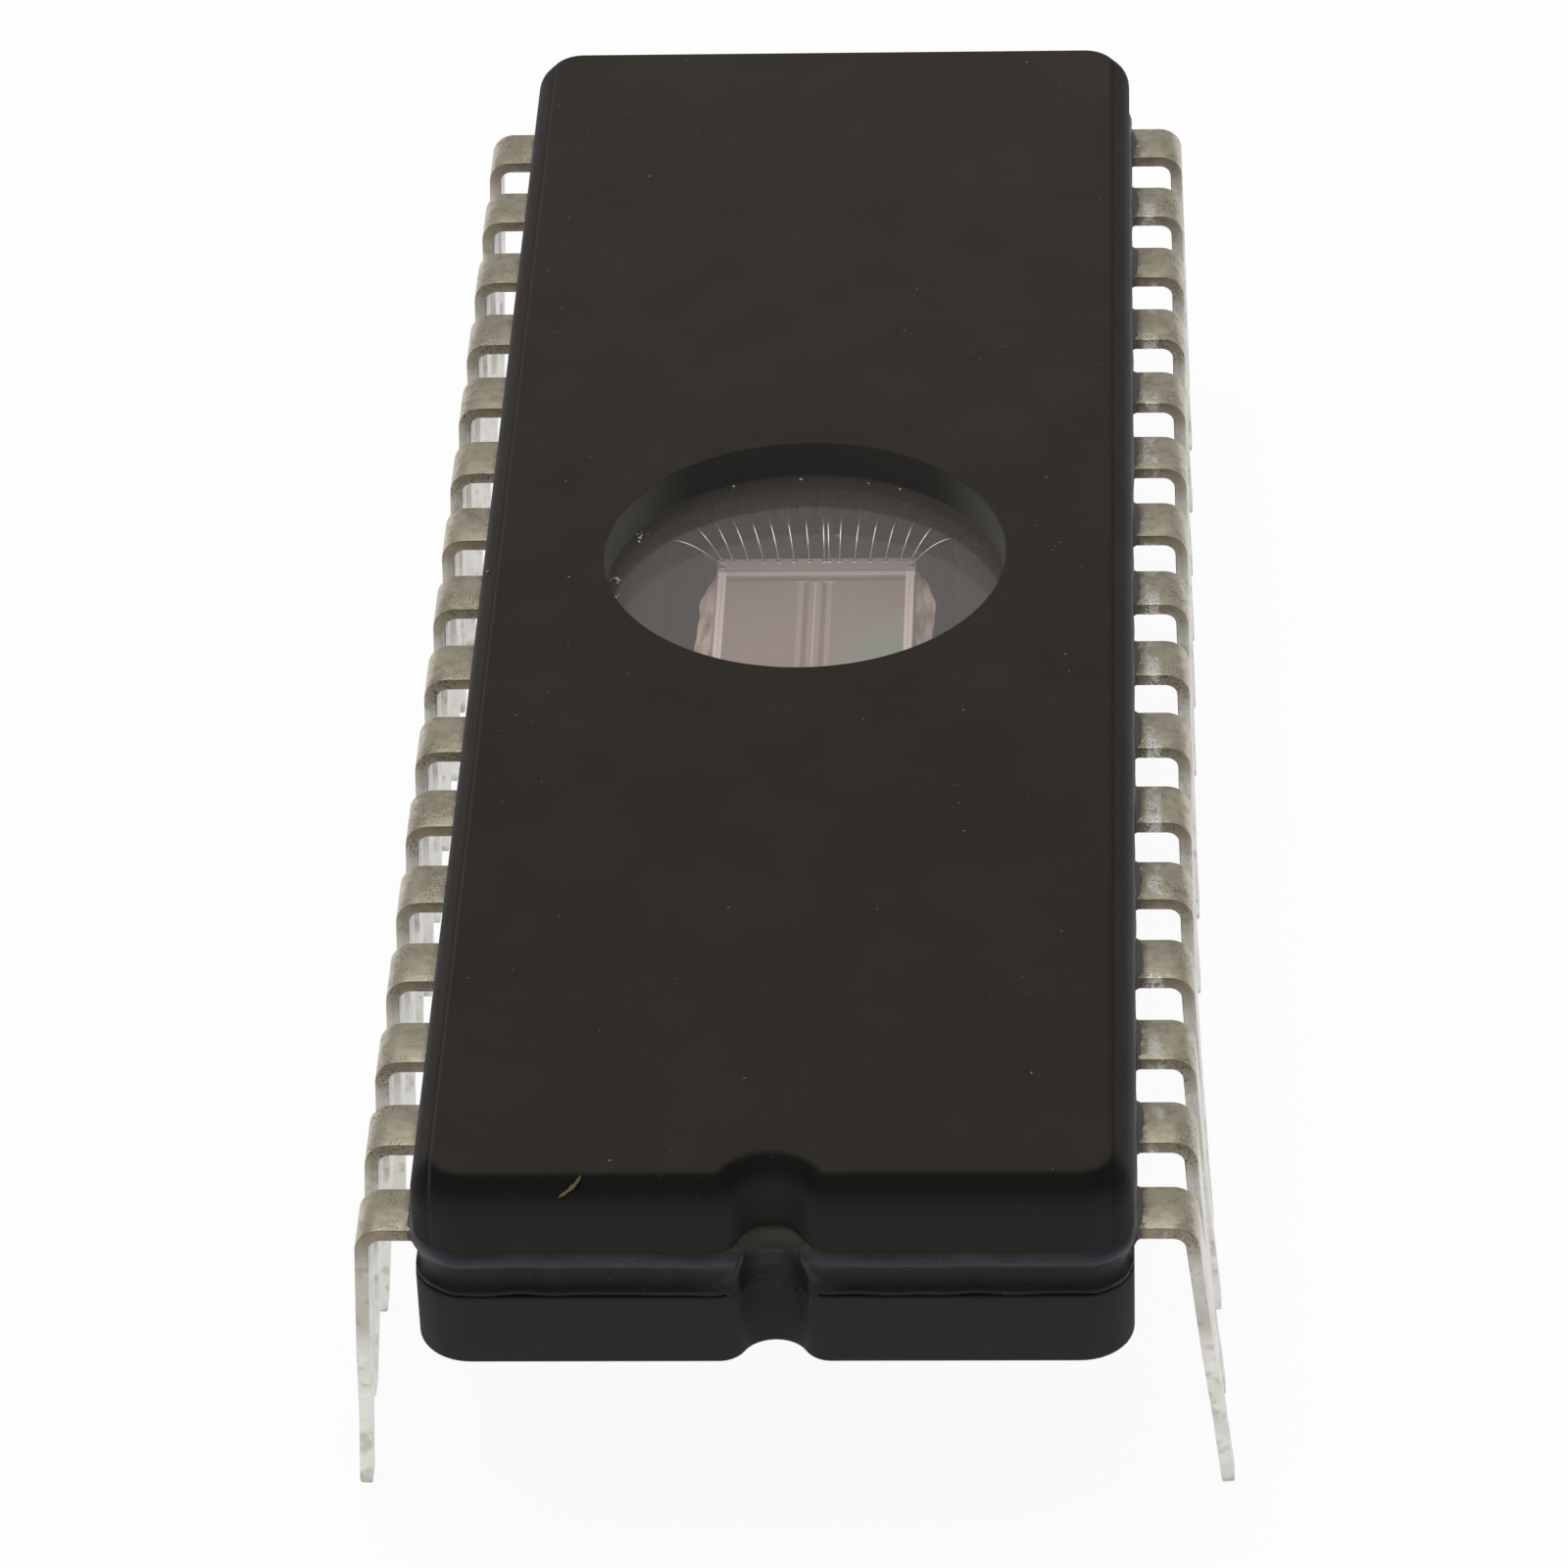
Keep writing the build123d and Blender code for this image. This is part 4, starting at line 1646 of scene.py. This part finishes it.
    def side_path(self, side: Side, index: int) -> np.ndarray:
        """The middle line from the root out, round the bend and down to the tip.

        The bend is C + r (sin a, cos a) for a from 0 to the turn, with C on the inside. Below it the
        strip runs at the lead's lean, less bow sin(pi s) for the share s of the way down.

        Args:
            side: the lead's row.
            index: its place in the row.

        Returns:
            Distance from the middle plane, height, and angle turned, shape (stations, 3).
        """
        lean, bow = self.lean(side, index), self.bows[self.number(side, index)]
        turn = math.pi / 2 - lean
        wall, middle = self.levels.half_width, self.levels.lead_top - self.thickness / 2
        radius = self.inner_bend + self.thickness / 2
        setback = (self.inner_bend + self.thickness) * math.tan(turn / 2)
        bend_x = wall + self.shoulder - setback
        flat_x = np.array([wall - self.embed + 0.05, wall - 0.3, wall + 0.2, bend_x])
        flat = np.column_stack([flat_x, np.full(4, middle), np.zeros(4)])
        angle = np.linspace(0, turn, self.bend_steps + 1)[1:]
        curve_x, curve_z = bend_x + radius * np.sin(angle), middle - radius + radius * np.cos(angle)
        curve = np.column_stack([curve_x, curve_z, angle])
        seat, leg = self.seat_height, self.seat_height - self.taper
        seats = (seat + self.seat_ease, seat - self.seat_ease)
        ankles = (leg + self.taper_ease, leg - self.taper_ease)
        heights = np.array(
            [*self.blade_stations, *seats, *self.taper_stations, *ankles, *self.leg_stations]
        )
        start_x, start_z = curve[-1, :2]
        down = (start_z - heights) / start_z
        straight_x = start_x + (start_z - heights) * math.tan(lean) - bow * np.sin(math.pi * down)
        straight = np.column_stack([straight_x, heights, np.full(len(heights), turn)])
        return np.concatenate([flat, curve, straight])

    def outer_stations(self, side: Side, index: int) -> tuple[np.ndarray, ...]:
        """Sections along the middle line outside the body, narrower and thinner at the rounded tip.

        Args:
            side: the lead's row.
            index: its place in the row.

        Returns:
            Middles, across vectors, normals, half widths and half heights.
        """
        path = self.side_path(side, index)
        wide, narrow = self.blade_width / 2, self.leg_width / 2
        share = np.clip((path[:, 1] - self.seat_height + self.taper) / self.taper, 0, 1)
        widths = narrow + (wide - narrow) * share
        widths[-len(self.tip_widths):] *= self.tip_widths
        halves = np.full(len(path), self.thickness / 2)
        halves[-len(self.tip_halves):] *= self.tip_halves
        y = np.full(len(path), self.lead_y(index))
        centres = np.column_stack([side.value * path[:, 0], y, path[:, 1]])
        across = np.tile((0.0, float(side.value), 0.0), (len(path), 1))
        normals = np.column_stack([side.value * np.sin(path[:, 2]), np.zeros(len(path)), np.cos(path[:, 2])])
        return centres, across, normals, widths, halves

    def strip(self, side: Side, index: int) -> Shell:
        """One lead: a rectangle with eased edges carried along the middle line.

        A section's point is centre + across (A (w - e) + e cos) + normal (B (h - e) + e sin), where A and
        B are the corner's signs, w and h the half sizes and e the corner's ease.

        Args:
            side: the lead's row.
            index: its place in the row.

        Returns:
            The closed lead.
        """
        parts = zip(self.inner_stations(side, index), self.outer_stations(side, index))
        centres, across, normals, widths, halves = (np.concatenate(pair) for pair in parts)
        corners = np.repeat([(1, 1), (-1, 1), (-1, -1), (1, -1)], 4, axis=0)
        angles = np.radians(np.repeat([0, 90, 180, 270], 4) + np.tile(np.linspace(0, 90, 4), 4))
        ease = np.where(corners[:, 1] > 0, self.edge_top, self.edge_under)
        wide = corners[:, 0] * (widths[:, None] - ease) + ease * np.cos(angles)
        tall = corners[:, 1] * (halves[:, None] - ease) + ease * np.sin(angles)
        grid = centres[:, None] + across[:, None] * wide[..., None] + normals[:, None] * tall[..., None]
        return Shell.from_grid(np.concatenate([pole(grid, *centres[0]), grid, pole(grid, *centres[-1])]))

    def collar(self, side: Side, index: int) -> Shell:
        """Glass that creeps out along one lead.

        At a share t of the reach it stands spread (1 - t)^2 proud of the lead. The reach is longest at
        the middle of the lead's width, and ragged. A section is |x / w|^p + |y / h|^p = 1.

        Args:
            side: the lead's row.
            index: its place in the row.

        Returns:
            The closed collar.
        """
        number = index + (self.per_row if side is Side.LEFT else 0)
        turn = np.linspace(0, 1, self.collar_points, endpoint=False)
        x, y = np.cos(2 * np.pi * turn), np.sin(2 * np.pi * turn)
        ragged = 0.05 * wander(turn, (2, 3, 5), seed=100 + number) + 0.10 * math.sin(2.4 * number)
        out = self.collar_reach * (1.0 + ragged - 0.12 * np.abs(x) ** 3)
        t = np.array(self.collar_shares)[:, None]
        skin = self.collar_skin * (1 - 2 * (t >= 1.0))
        proud = self.collar_spread * np.clip(1 - t, 0, 1.0) ** 2 + skin
        half_w, half_t = self.blade_width / 2 + proud, self.thickness / 2 + proud
        power = self.collar_power
        size = (np.abs(x / half_w) ** power + np.abs(y / half_t) ** power) ** (-1 / power)
        along = side.value * (self.levels.half_width - 0.04 + t * out)
        across, middle = self.lead_y(index), self.levels.lead_top - self.thickness / 2
        grid = np.stack([along, across + size * x, middle + size * y], axis=2)
        first, last = (pole(grid, row[:, 0].mean(), across, middle) for row in grid[[0, -1]])
        return Shell.from_grid(np.concatenate([first, grid, last]))

    def build(self) -> None:
        """Make every lead, numbered round the body from the notch as its node is."""
        for number in range(1, 2 * self.per_row + 1):
            side = Side.RIGHT if number <= self.per_row else Side.LEFT
            index = number - 1 if side is Side.RIGHT else 2 * self.per_row - number
            shell = self.strip(side, index)
            make_piece(f"formed_lead_{number:02d}", shell, self.finish, [f"lead_{number:02d}"])


@dataclass
class QuartzWindow:
    """The clear disc in the cap's hole, with its fused edge standing up a little."""

    levels: Levels
    finish: QuartzGlass
    rim_width: float = 0.12
    rim_rise: float = 0.012
    rim_steps: int = 8
    fused: float = 0.010
    foot_bevel: float = 0.02
    segments: int = 128

    def build(self) -> bpy.types.Object:
        """Radius and height profile turned about Z. The edge is fused a little way into the cap.

        Over the rim's share s, from 0 at its inner side to 1 at the edge, the height is rise s^3.

        Returns:
            The disc's object.
        """
        radius = self.levels.window_radius + self.fused
        low, high, bevel = self.levels.cap_bottom, self.levels.window_top, self.foot_bevel
        share = np.linspace(0, 1, self.rim_steps + 1)
        edge = np.column_stack([radius - self.rim_width * (1 - share), high + self.rim_rise * share**3])
        face = radius - self.rim_width - np.array([2.0, 0.4, 0.06, 0.02])
        upper = np.column_stack([face, np.full(4, high)])
        foot = np.column_stack([radius - np.array([0.0, bevel, 0.04, 2.0]), np.full(4, low)])
        foot[0, 1] += bevel
        profile = np.concatenate([upper, edge, foot])
        angles = np.linspace(0, 2 * np.pi, self.segments, endpoint=False)
        grid = round_hole(profile[:, 0], angles, profile[:, 1])
        shell = Shell.from_grid(np.concatenate([pole(grid, 0, 0, high), grid, pole(grid, 0, 0, low)]))
        return make_piece("quartz_disc", shell, self.finish, ["quartz_window"])


@dataclass
class DieStack:
    """The die, the glass that holds it, its bond pads and the bond wires to the finger tips."""

    levels: Levels
    leads: LeadFrame
    face: DieFace
    attach: AttachGlass
    metal: DrawnWire
    pad_metal: DrawnWire
    die_bevel: float = 0.02
    fillet_reach: float = 0.45
    fillet_foot: float = 0.06
    fillet_rise: float = 0.20
    edge_wander: float = 0.045
    edge_ripple: float = 0.018
    far_narrowing: float = 0.36
    narrow_from: float = 1.45
    narrow_length: float = 1.35
    wire_radius: float = 0.0155
    wire_steps: int = 24
    wire_sides: int = 10
    loop: float = 0.27
    loop_power: float = 0.8
    crest_power: float = 1.25
    lift: float = 0.28
    foot_length: float = 0.035
    foot_spread: float = 0.75
    foot_squash: float = 0.55
    pad_first: float = 0.155
    pad_pitch: float = 0.315
    pad_margin: float = 0.10
    corner_step: float = 0.22
    pad_size: float = 0.10
    pad_sunk: float = 0.002
    pad_proud: float = 0.004
    foot_inset: float = 0.22
    twin_step: float = 0.10

    def die(self) -> bpy.types.Object:
        """A block with a hair of a bevel, closed above and below.

        Returns:
            The die's object.
        """
        (left, near, bottom), (right, far, top) = self.levels.die_low, self.levels.die_high
        middle, bevel = (left + right) / 2, self.die_bevel
        plan = RoundedPlan(
            (right - left) / 2, (far - near) / 2, bevel, centre_x=middle, step=0.5, corner_steps=3
        )
        skin = rounded([(bevel, bottom, 0), (0, bottom, bevel / 2), (0, top, bevel / 2), (bevel, top, 0)])
        grid = plan.sweep(skin)
        grid = np.concatenate([pole(grid, middle, 0, bottom), grid, pole(grid, middle, 0, top)])
        return make_piece("silicon_die", Shell.from_grid(grid), self.face, ["die"])

    def attach_pad(self) -> bpy.types.Object:
        """A sloping fillet round the die with a wandering edge, and a thin film under it.

        The plan's point is moved inwards by (wander + narrowing) at the foot, and not at all where the
        fillet meets the die. The narrowing grows with the square of the way towards the far end.

        Returns:
            The attach glass's object.
        """
        (left, near, _), (right, far, _) = self.levels.die_low, self.levels.die_high
        middle, floor, reach = (left + right) / 2, self.levels.cavity_floor, self.fillet_reach
        half_x, half_y = (right - left) / 2 + reach, (far - near) / 2 + reach
        plan = RoundedPlan(half_x, half_y, reach, centre_x=middle, step=0.12)
        skin = rounded(
            [
                (self.fillet_foot, floor, 0),
                (0.0, floor + 0.01, 0.02),
                (0.20, floor + 0.10, 0.10),
                (reach + 0.01, floor + self.fillet_rise, 0),
            ]
        )
        grid = plan.sweep(skin)
        points, normals = plan.walk()
        turn = np.linspace(0, 1, len(points), endpoint=False)
        edge = self.edge_wander * (1 + wander(turn, (3, 5, 7), seed=21)).clip(0)
        edge = edge + self.edge_ripple * wander(turn, (19, 31), seed=22)
        far_share = np.clip((points[:, 1] - self.narrow_from) / self.narrow_length, 0, 1)
        inward = (edge + self.far_narrowing * far_share**2).clip(0.0)[:, None] * normals
        share = np.clip((0.42 - skin[:, 0]) / 0.42, 0, 1)[:, None, None]
        grid[:, :, :2] -= share * inward[None]
        grid = np.concatenate([pole(grid, middle, 0, floor), grid, pole(grid, middle, 0, floor + 0.02)])
        return make_piece(
            "die_attach_fillet", Shell.from_grid(grid), self.attach, ["die_attach"]
        )

    def runs(self, end: End) -> list[tuple[np.ndarray, np.ndarray]]:
        """Where the wires at one end of the die start and stop. One far wire has a twin beside it.

        Args:
            end: the end of the die.

        Returns:
            The pad and the place on the finger of each wire.
        """
        low, high = self.levels.die_low, self.levels.die_high
        middle, limit = (low[0] + high[0]) / 2, (high[0] - low[0]) / 2 - self.pad_margin
        ranks = self.leads.ranks
        indices = range(ranks) if end is End.NEAR else range(ranks, self.leads.per_row)
        runs = []
        for side in Side:
            for index in indices:
                rank = min(index, self.leads.per_row - 1 - index)
                tip, knee, _ = self.leads.trace(side, index)
                foot = tip + (knee - tip) / np.linalg.norm(knee - tip) * self.foot_inset
                pad_x = middle + side.value * min(self.pad_first + self.pad_pitch * rank, limit)
                step = self.corner_step if rank == ranks - 1 else 0
                pad_y = end.value * ((high[1] - low[1]) / 2 - self.pad_margin - step)
                pad = np.array([pad_x, pad_y, high[2]])
                finger = np.array([*foot, self.leads.levels.lead_top])
                runs.append((pad, finger))
                if end is End.FAR and rank == 0 and side is Side.RIGHT:
                    twin = np.array([self.twin_step, 0, 0])
                    runs.append((pad + twin, finger + twin))
        return runs

    def wire(self, pad: np.ndarray, finger: np.ndarray) -> Shell:
        """One round wire with flattened feet.

        Its height above the line from foot to foot is loop (4 s (1 - s))^p + lift t (1 - t)^2 for the
        share t of the span, with s a power of t, so that the crest lies nearer to the die.

        Args:
            pad: the middle of its pad on the die.
            finger: where its other foot stands.

        Returns:
            The closed wire.
        """
        radius = self.wire_radius
        t = np.linspace(0, 1, self.wire_steps + 1)
        share = t**self.crest_power
        arch = self.loop * (4 * share * (1 - share)).clip(0) ** self.loop_power
        across = np.cross(finger - pad, (0.0, 0.0, 1.0))
        across /= np.linalg.norm(across)
        path = pad + t[:, None] * (finger - pad)
        path[:, 2] += arch + radius * 0.6 + self.lift * t * (1 - t) ** 2
        along = np.gradient(path, axis=0)
        along /= np.linalg.norm(along, axis=1)[:, None]
        up = np.cross(across, along)
        up *= np.sign(up[:, 2:3])
        foot = np.exp(-((t / self.foot_length) ** 2)) + np.exp(-(((1 - t) / self.foot_length) ** 2))
        angles = np.linspace(0, 2 * np.pi, self.wire_sides, endpoint=False)
        wide = radius * (1 + self.foot_spread * foot)[:, None] * np.cos(angles)
        tall = radius * (1 - self.foot_squash * foot)[:, None] * np.sin(angles)
        grid = path[:, None] + across * wide[..., None] + up[:, None] * tall[..., None]
        return Shell.from_grid(np.concatenate([pole(grid, *path[0]), grid, pole(grid, *path[-1])]))

    def wires(self, end: End) -> bpy.types.Object:
        """The fan at one end of the die.

        Args:
            end: the end of the die.

        Returns:
            The fan's object.
        """
        shell = Shell.joined([self.wire(pad, finger) for pad, finger in self.runs(end)])
        name = end.name.lower()
        return make_piece(f"{name}_wire_fan", shell, self.metal, [f"{name}_bond_wires"], crease=60.0)

    def pads(self) -> bpy.types.Object:
        """A thin square of metal under each wire's foot on the die.

        Returns:
            The pads' object.
        """
        plan = RoundedPlan(self.pad_size / 2, self.pad_size / 2, 0.01, step=1.0, corner_steps=2)
        outline = plan.sweep(np.array([(0.0, -self.pad_sunk), (0.0, 0.0025), (0.003, self.pad_proud)]))
        shells = []
        for end in End:
            for pad, _ in self.runs(end):
                grid = outline + pad
                below, above = pad - (0, 0, self.pad_sunk), pad + (0, 0, self.pad_proud)
                shells.append(Shell.from_grid(np.concatenate([pole(grid, *below), grid, pole(grid, *above)])))
        return make_piece("bond_pads", Shell.joined(shells), self.pad_metal)


@dataclass
class SurfaceSoil:
    """What has settled on the chip: pale grains, crumbs and a fibre, and white grains at the window's edge as
    painted glints.

    A rim cluster is its direction and spread in degrees, and its count of grains. Places are
    millimetres, and heights are given as drops below the cap's top or the leads' top.
    """

    levels: Levels
    dust: Soil
    # Painted glints: the white grains at the window's edge.
    white: Soil
    crumb: Soil
    lint: Soil
    grains: int = 90
    grain_sizes: Pair = (0.008, 0.020)
    edge_margin: float = 0.55
    window_keep: float = 4.35
    sunk: float = 0.014
    rim_clusters: tuple[tuple[float, float, int], ...] = (
        (151.0, 1.6, 8),
        (178.0, 1.2, 7),
        (185.0, 1.0, 6),
        (95.0, 30.0, 5),
    )
    rim_inset: Pair = (0.05, 0.26)
    rim_rise: float = 0.012
    rim_sizes: Pair = (0.014, 0.040)
    bevel_crumb: tuple[float, float, float] = (-6.43, -0.25, 0.26)
    wire_crumb: tuple[float, float, float] = (0.53, 3.18, 0.02)
    crumb_sizes: Pair = (0.055, 0.062)
    lump_sides: int = 8
    lump_rows: int = 6
    lump_flatness: float = 0.45
    fibre_start: tuple[float, float, float] = (-3.80, -20.49, 0.30)
    fibre_end: tuple[float, float, float] = (-3.42, -20.22, 0.032)
    fibre_bow: float = 0.06
    fibre_thick: float = 0.036
    fibre_flatness: float = 0.7

    def lumps(self, places: np.ndarray, sizes: np.ndarray, seed: int) -> Shell:
        """Flattened balls: size (cos a cos b, sin a cos b, f sin b), each wobbled a little.

        Args:
            places: the middle of each ball, shape (n, 3).
            sizes: their radii.
            seed: picks the wobbles.

        Returns:
            All the balls.
        """
        rng = np.random.default_rng(seed)
        turn = np.linspace(0, 2 * np.pi, self.lump_sides, endpoint=False)
        lift = np.linspace(-np.pi / 2, np.pi / 2, self.lump_rows)[:, None]
        tall = self.lump_flatness * np.sin(lift + 0 * turn)
        ball = np.stack([np.cos(turn) * np.cos(lift), np.sin(turn) * np.cos(lift), tall], axis=2)
        shells = []
        for place, size in zip(places, sizes):
            wobble = rng.uniform(0.72, 1.25, (1, self.lump_sides, 1))
            squash = np.array([rng.uniform(0.6, 1.4), rng.uniform(0.6, 1.4), 1.0])
            shells.append(Shell.from_grid(place + ball * wobble * squash * size))
        return Shell.joined(shells)

    def top_dust(self, rng: np.random.Generator) -> None:
        """Scatter pale grains on the cap, more of them away from its middle line, clear of the window.

        Args:
            rng: draws the places and sizes.
        """
        half_x = self.levels.half_width - self.edge_margin
        half_y = self.levels.half_length - self.edge_margin
        x = half_x * np.sign(rng.uniform(-1, 1, self.grains)) * rng.uniform(0, 1, self.grains) ** 0.45
        y = rng.uniform(-half_y, half_y, self.grains)
        keep = np.hypot(x, y) > self.window_keep
        top = np.full(keep.sum(), self.levels.cap_top - self.sunk)
        places = np.column_stack([x[keep], y[keep], top])
        sizes = rng.uniform(*self.grain_sizes, len(places))
        make_piece("dust_grains", self.lumps(places, sizes, seed=31), self.dust)

    def rim_glints(self, rng: np.random.Generator) -> None:
        """Lay white grains in clusters along the window's edge, as painted glints.

        Args:
            rng: draws the places and sizes.
        """
        middles, spreads, counts = zip(*self.rim_clusters)
        scatter = np.repeat(spreads, counts) * rng.normal(size=sum(counts))
        turn = np.radians(np.repeat(middles, counts) + scatter)
        radius = self.levels.window_radius - rng.uniform(*self.rim_inset, len(turn))
        top = np.full(len(turn), self.levels.window_top + self.rim_rise)
        places = np.column_stack([radius * np.cos(turn), radius * np.sin(turn), top])
        sizes = rng.uniform(*self.rim_sizes, len(turn))
        make_piece("rim_glints", self.lumps(places, sizes, seed=33), self.white)

    def crumbs(self) -> None:
        """Lay one brown crumb on the cap's left bevel and one on a far bond wire."""
        on_bevel, on_wire = np.array(self.bevel_crumb), np.array(self.wire_crumb)
        on_bevel[2] = self.levels.cap_top - on_bevel[2]
        on_wire[2] = self.levels.lead_top - on_wire[2]
        shell = self.lumps(np.array([on_bevel, on_wire]), np.array(self.crumb_sizes), seed=37)
        make_piece("brown_crumbs", shell, self.crumb)

    def fibre(self) -> None:
        """Lay a short knobbly fibre on the near crown: a bowed line that is thinner at its ends."""
        t = np.linspace(0, 1, 14)
        start, end = np.array(self.fibre_start), np.array(self.fibre_end)
        start[2], end[2] = self.levels.cap_top - start[2], self.levels.cap_top - end[2]
        path = start + (end - start) * t[:, None]
        path[:, 0] += self.fibre_bow * np.sin(np.pi * t)
        angles = np.linspace(0, 2 * np.pi, 8, endpoint=False)
        side = self.fibre_flatness * np.sin(angles)
        ring = np.stack([np.cos(angles), side, side], axis=1)
        thick = self.fibre_thick * (0.45 + 0.55 * np.sin(np.pi * t)) * (1 + 0.25 * np.sin(17 * t))
        grid = path[:, None] + thick[:, None, None] * ring[None]
        shell = Shell.from_grid(np.concatenate([pole(grid, *path[0]), grid, pole(grid, *path[-1])]))
        make_piece("yellow_fibre", shell, self.lint, crease=70.0)

    def build(self) -> None:
        """Scatter the grains, and lay the crumbs and the fibre."""
        rng = np.random.default_rng(29)
        self.top_dust(rng)
        self.rim_glints(rng)
        self.crumbs()
        self.fibre()


@dataclass
class Studio:
    """White paper under and round the chip, one soft lamp, a plain dome and the photograph's camera.

    Places and sizes are millimetres, angles are degrees and the lamp's power is watts. The focal length
    and the image are in pixels, and the sensor is in millimetres.
    """

    paper: PaperWhite
    room: DarkRoom
    camera_place: Point = (6.725, -128.928, 94.924)
    yaw: float = -3.252
    pitch: float = 35.496
    roll: float = 2.206
    focal_px: float = 7827.97
    image_px: float = 1600.0
    sensor: float = 36.0
    clip: Pair = (0.01, 20.0)
    low_sky: float = 0.42
    high_sky: float = 1.0
    sky_rise: Pair = (0.64, 0.88)
    paper_half: float = 2000.0
    card_half: float = 150.0
    card_low: Pair = (-330.0, 235.0)
    card_high: Pair = (-300.0, 470.0)
    lamp_place: Point = (-60.0, 40.0, 330.0)
    lamp_size: Pair = (260.0, 260.0)
    lamp_power: float = 0.34
    lamp_tint: Colour = (1.0, 0.985, 0.96)

    def camera(self) -> None:
        """The camera at the photograph's place: turned by yaw, tipped down by pitch, then rolled."""
        yaw, pitch, roll = (math.radians(value) for value in (self.yaw, self.pitch, self.roll))
        ahead = np.array([math.sin(yaw) * math.cos(pitch), math.cos(yaw) * math.cos(pitch), -math.sin(pitch)])
        right = np.array([math.cos(yaw), -math.sin(yaw), 0.0])
        down = np.cross(ahead, right)
        rolled_right = math.cos(roll) * right + math.sin(roll) * down
        rolled_down = math.cos(roll) * down - math.sin(roll) * right
        turned = np.eye(4)
        turned[:3, :3] = np.column_stack([rolled_right, -rolled_down, -ahead])
        turned[:3, 3] = np.array(self.camera_place) * MM
        data = bpy.data.cameras.new("camera")
        data.sensor_width = self.sensor
        data.lens = self.focal_px / self.image_px * self.sensor
        data.clip_start, data.clip_end = self.clip
        made = bpy.data.objects.new("camera", data)
        made.matrix_world = Matrix(turned.tolist())
        bpy.context.scene.collection.objects.link(made)
        bpy.context.scene.camera = made

    def sheet(self, name: str, corners: Sequence[Sequence[float]], finish: Finish) -> bpy.types.Object:
        """A flat stage piece with four corners.

        Args:
            name: its name.
            corners: its corners, in millimetres.
            finish: its finish.

        Returns:
            The new object.
        """
        mesh = bpy.data.meshes.new(name)
        mesh.from_pydata((np.array(corners, float) * MM).tolist(), [], [(0, 1, 2, 3)])
        mesh.materials.append(finish.material())
        made = bpy.data.objects.new(name, mesh)
        bpy.context.scene.collection.objects.link(made)
        return made

    def lamp(self) -> None:
        """A soft rectangular lamp overhead that faces the chip."""
        data = bpy.data.lights.new("overhead_lamp", "AREA")
        data.shape = "RECTANGLE"
        data.size, data.size_y = (size * MM for size in self.lamp_size)
        data.energy = self.lamp_power
        data.color = self.lamp_tint
        made = bpy.data.objects.new("overhead_lamp", data)
        spot = np.array(self.lamp_place) * MM
        back = spot / np.linalg.norm(spot)
        side = np.cross((0.0, 1.0, 0.0), back)
        side /= np.linalg.norm(side)
        turned = np.eye(4)
        turned[:3, :3] = np.column_stack([side, np.cross(back, side), back])
        turned[:3, 3] = spot
        made.matrix_world = Matrix(turned.tolist())
        bpy.context.scene.collection.objects.link(made)

    def world(self) -> None:
        """A plain grey dome that is brighter overhead, as in a room with a lit ceiling."""
        made = bpy.data.worlds.new("studio")
        made.use_nodes = True
        bpy.context.scene.world = made
        board = Board(made.node_tree)
        direction = board.node("ShaderNodeTexCoord").outputs["Generated"]
        height = board.axes(direction)[2]
        dome = board.blend(height.rise(*self.sky_rise), (self.low_sky,) * 3, (self.high_sky,) * 3)
        back = board.node("ShaderNodeBackground", None, {"Color": dome, "Strength": 1.0})
        board.node("ShaderNodeOutputWorld", None, {"Surface": back.outputs[0]})

    def build(self) -> None:
        """Set the camera, lay the paper, hang the lamp, and put a dark card behind the camera."""
        self.camera()
        self.world()
        half, wide = self.paper_half, self.card_half
        corners = [(-half, -half, 0), (half, -half, 0), (half, half, 0), (-half, half, 0)]
        self.sheet("paper_floor", corners, self.paper)
        low, high = self.card_low, self.card_high
        corners = [(-wide, *low), (wide, *low), (wide, *high), (-wide, *high)]
        card = self.sheet("dark_card", corners, self.room)
        card.visible_camera = False
        card.visible_shadow = False
        self.lamp()
        bpy.context.scene.view_settings.view_transform = "Standard"


def main() -> None:
    """Build the chip round the frame, dress it, and set the studio."""
    logging.basicConfig(level=logging.INFO, format="%(message)s")
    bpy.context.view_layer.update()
    levels = Levels.from_frame()
    shells = CeramicShells(levels, PressedCeramic())
    shells.cap()
    shells.base()
    leads = LeadFrame(levels, LeadMetal(wall=levels.half_width, shoulder_top=levels.lead_top))
    leads.build()
    seal = SealFrame(levels, SealGlass())
    collars = [leads.collar(side, index) for side in Side for index in range(leads.per_row)]
    make_piece("seal_frame", Shell.joined([seal.band(), *collars]), seal.finish, ["seal_glass"])
    QuartzWindow(levels, QuartzGlass()).build()
    (left, near, _), (right, far, _) = levels.die_low, levels.die_high
    face = DieFace(centre_x=(left + right) / 2, half=((right - left) / 2, (far - near) / 2))
    pad_metal = DrawnWire("bond_pad_metal", dull=(0.72, 0.66, 0.66))
    stack = DieStack(levels, leads, face, AttachGlass(), DrawnWire(), pad_metal)
    stack.die()
    stack.attach_pad()
    stack.pads()
    for end in End:
        stack.wires(end)
    soil = SurfaceSoil(
        levels,
        dust=Soil(),
        white=Soil("white_rim_glints", (0.52, 0.54, 0.52), (0.30, 0.30, 0.29)),
        crumb=Soil("brown_crumb", (0.42, 0.25, 0.10), (0.25, 0.15, 0.08)),
        lint=Soil("yellow_lint", (0.140, 0.112, 0.042), (0.085, 0.068, 0.034)),
    )
    soil.build()
    Studio(PaperWhite(), DarkRoom()).build()


if __name__ == "__main__":
    main()
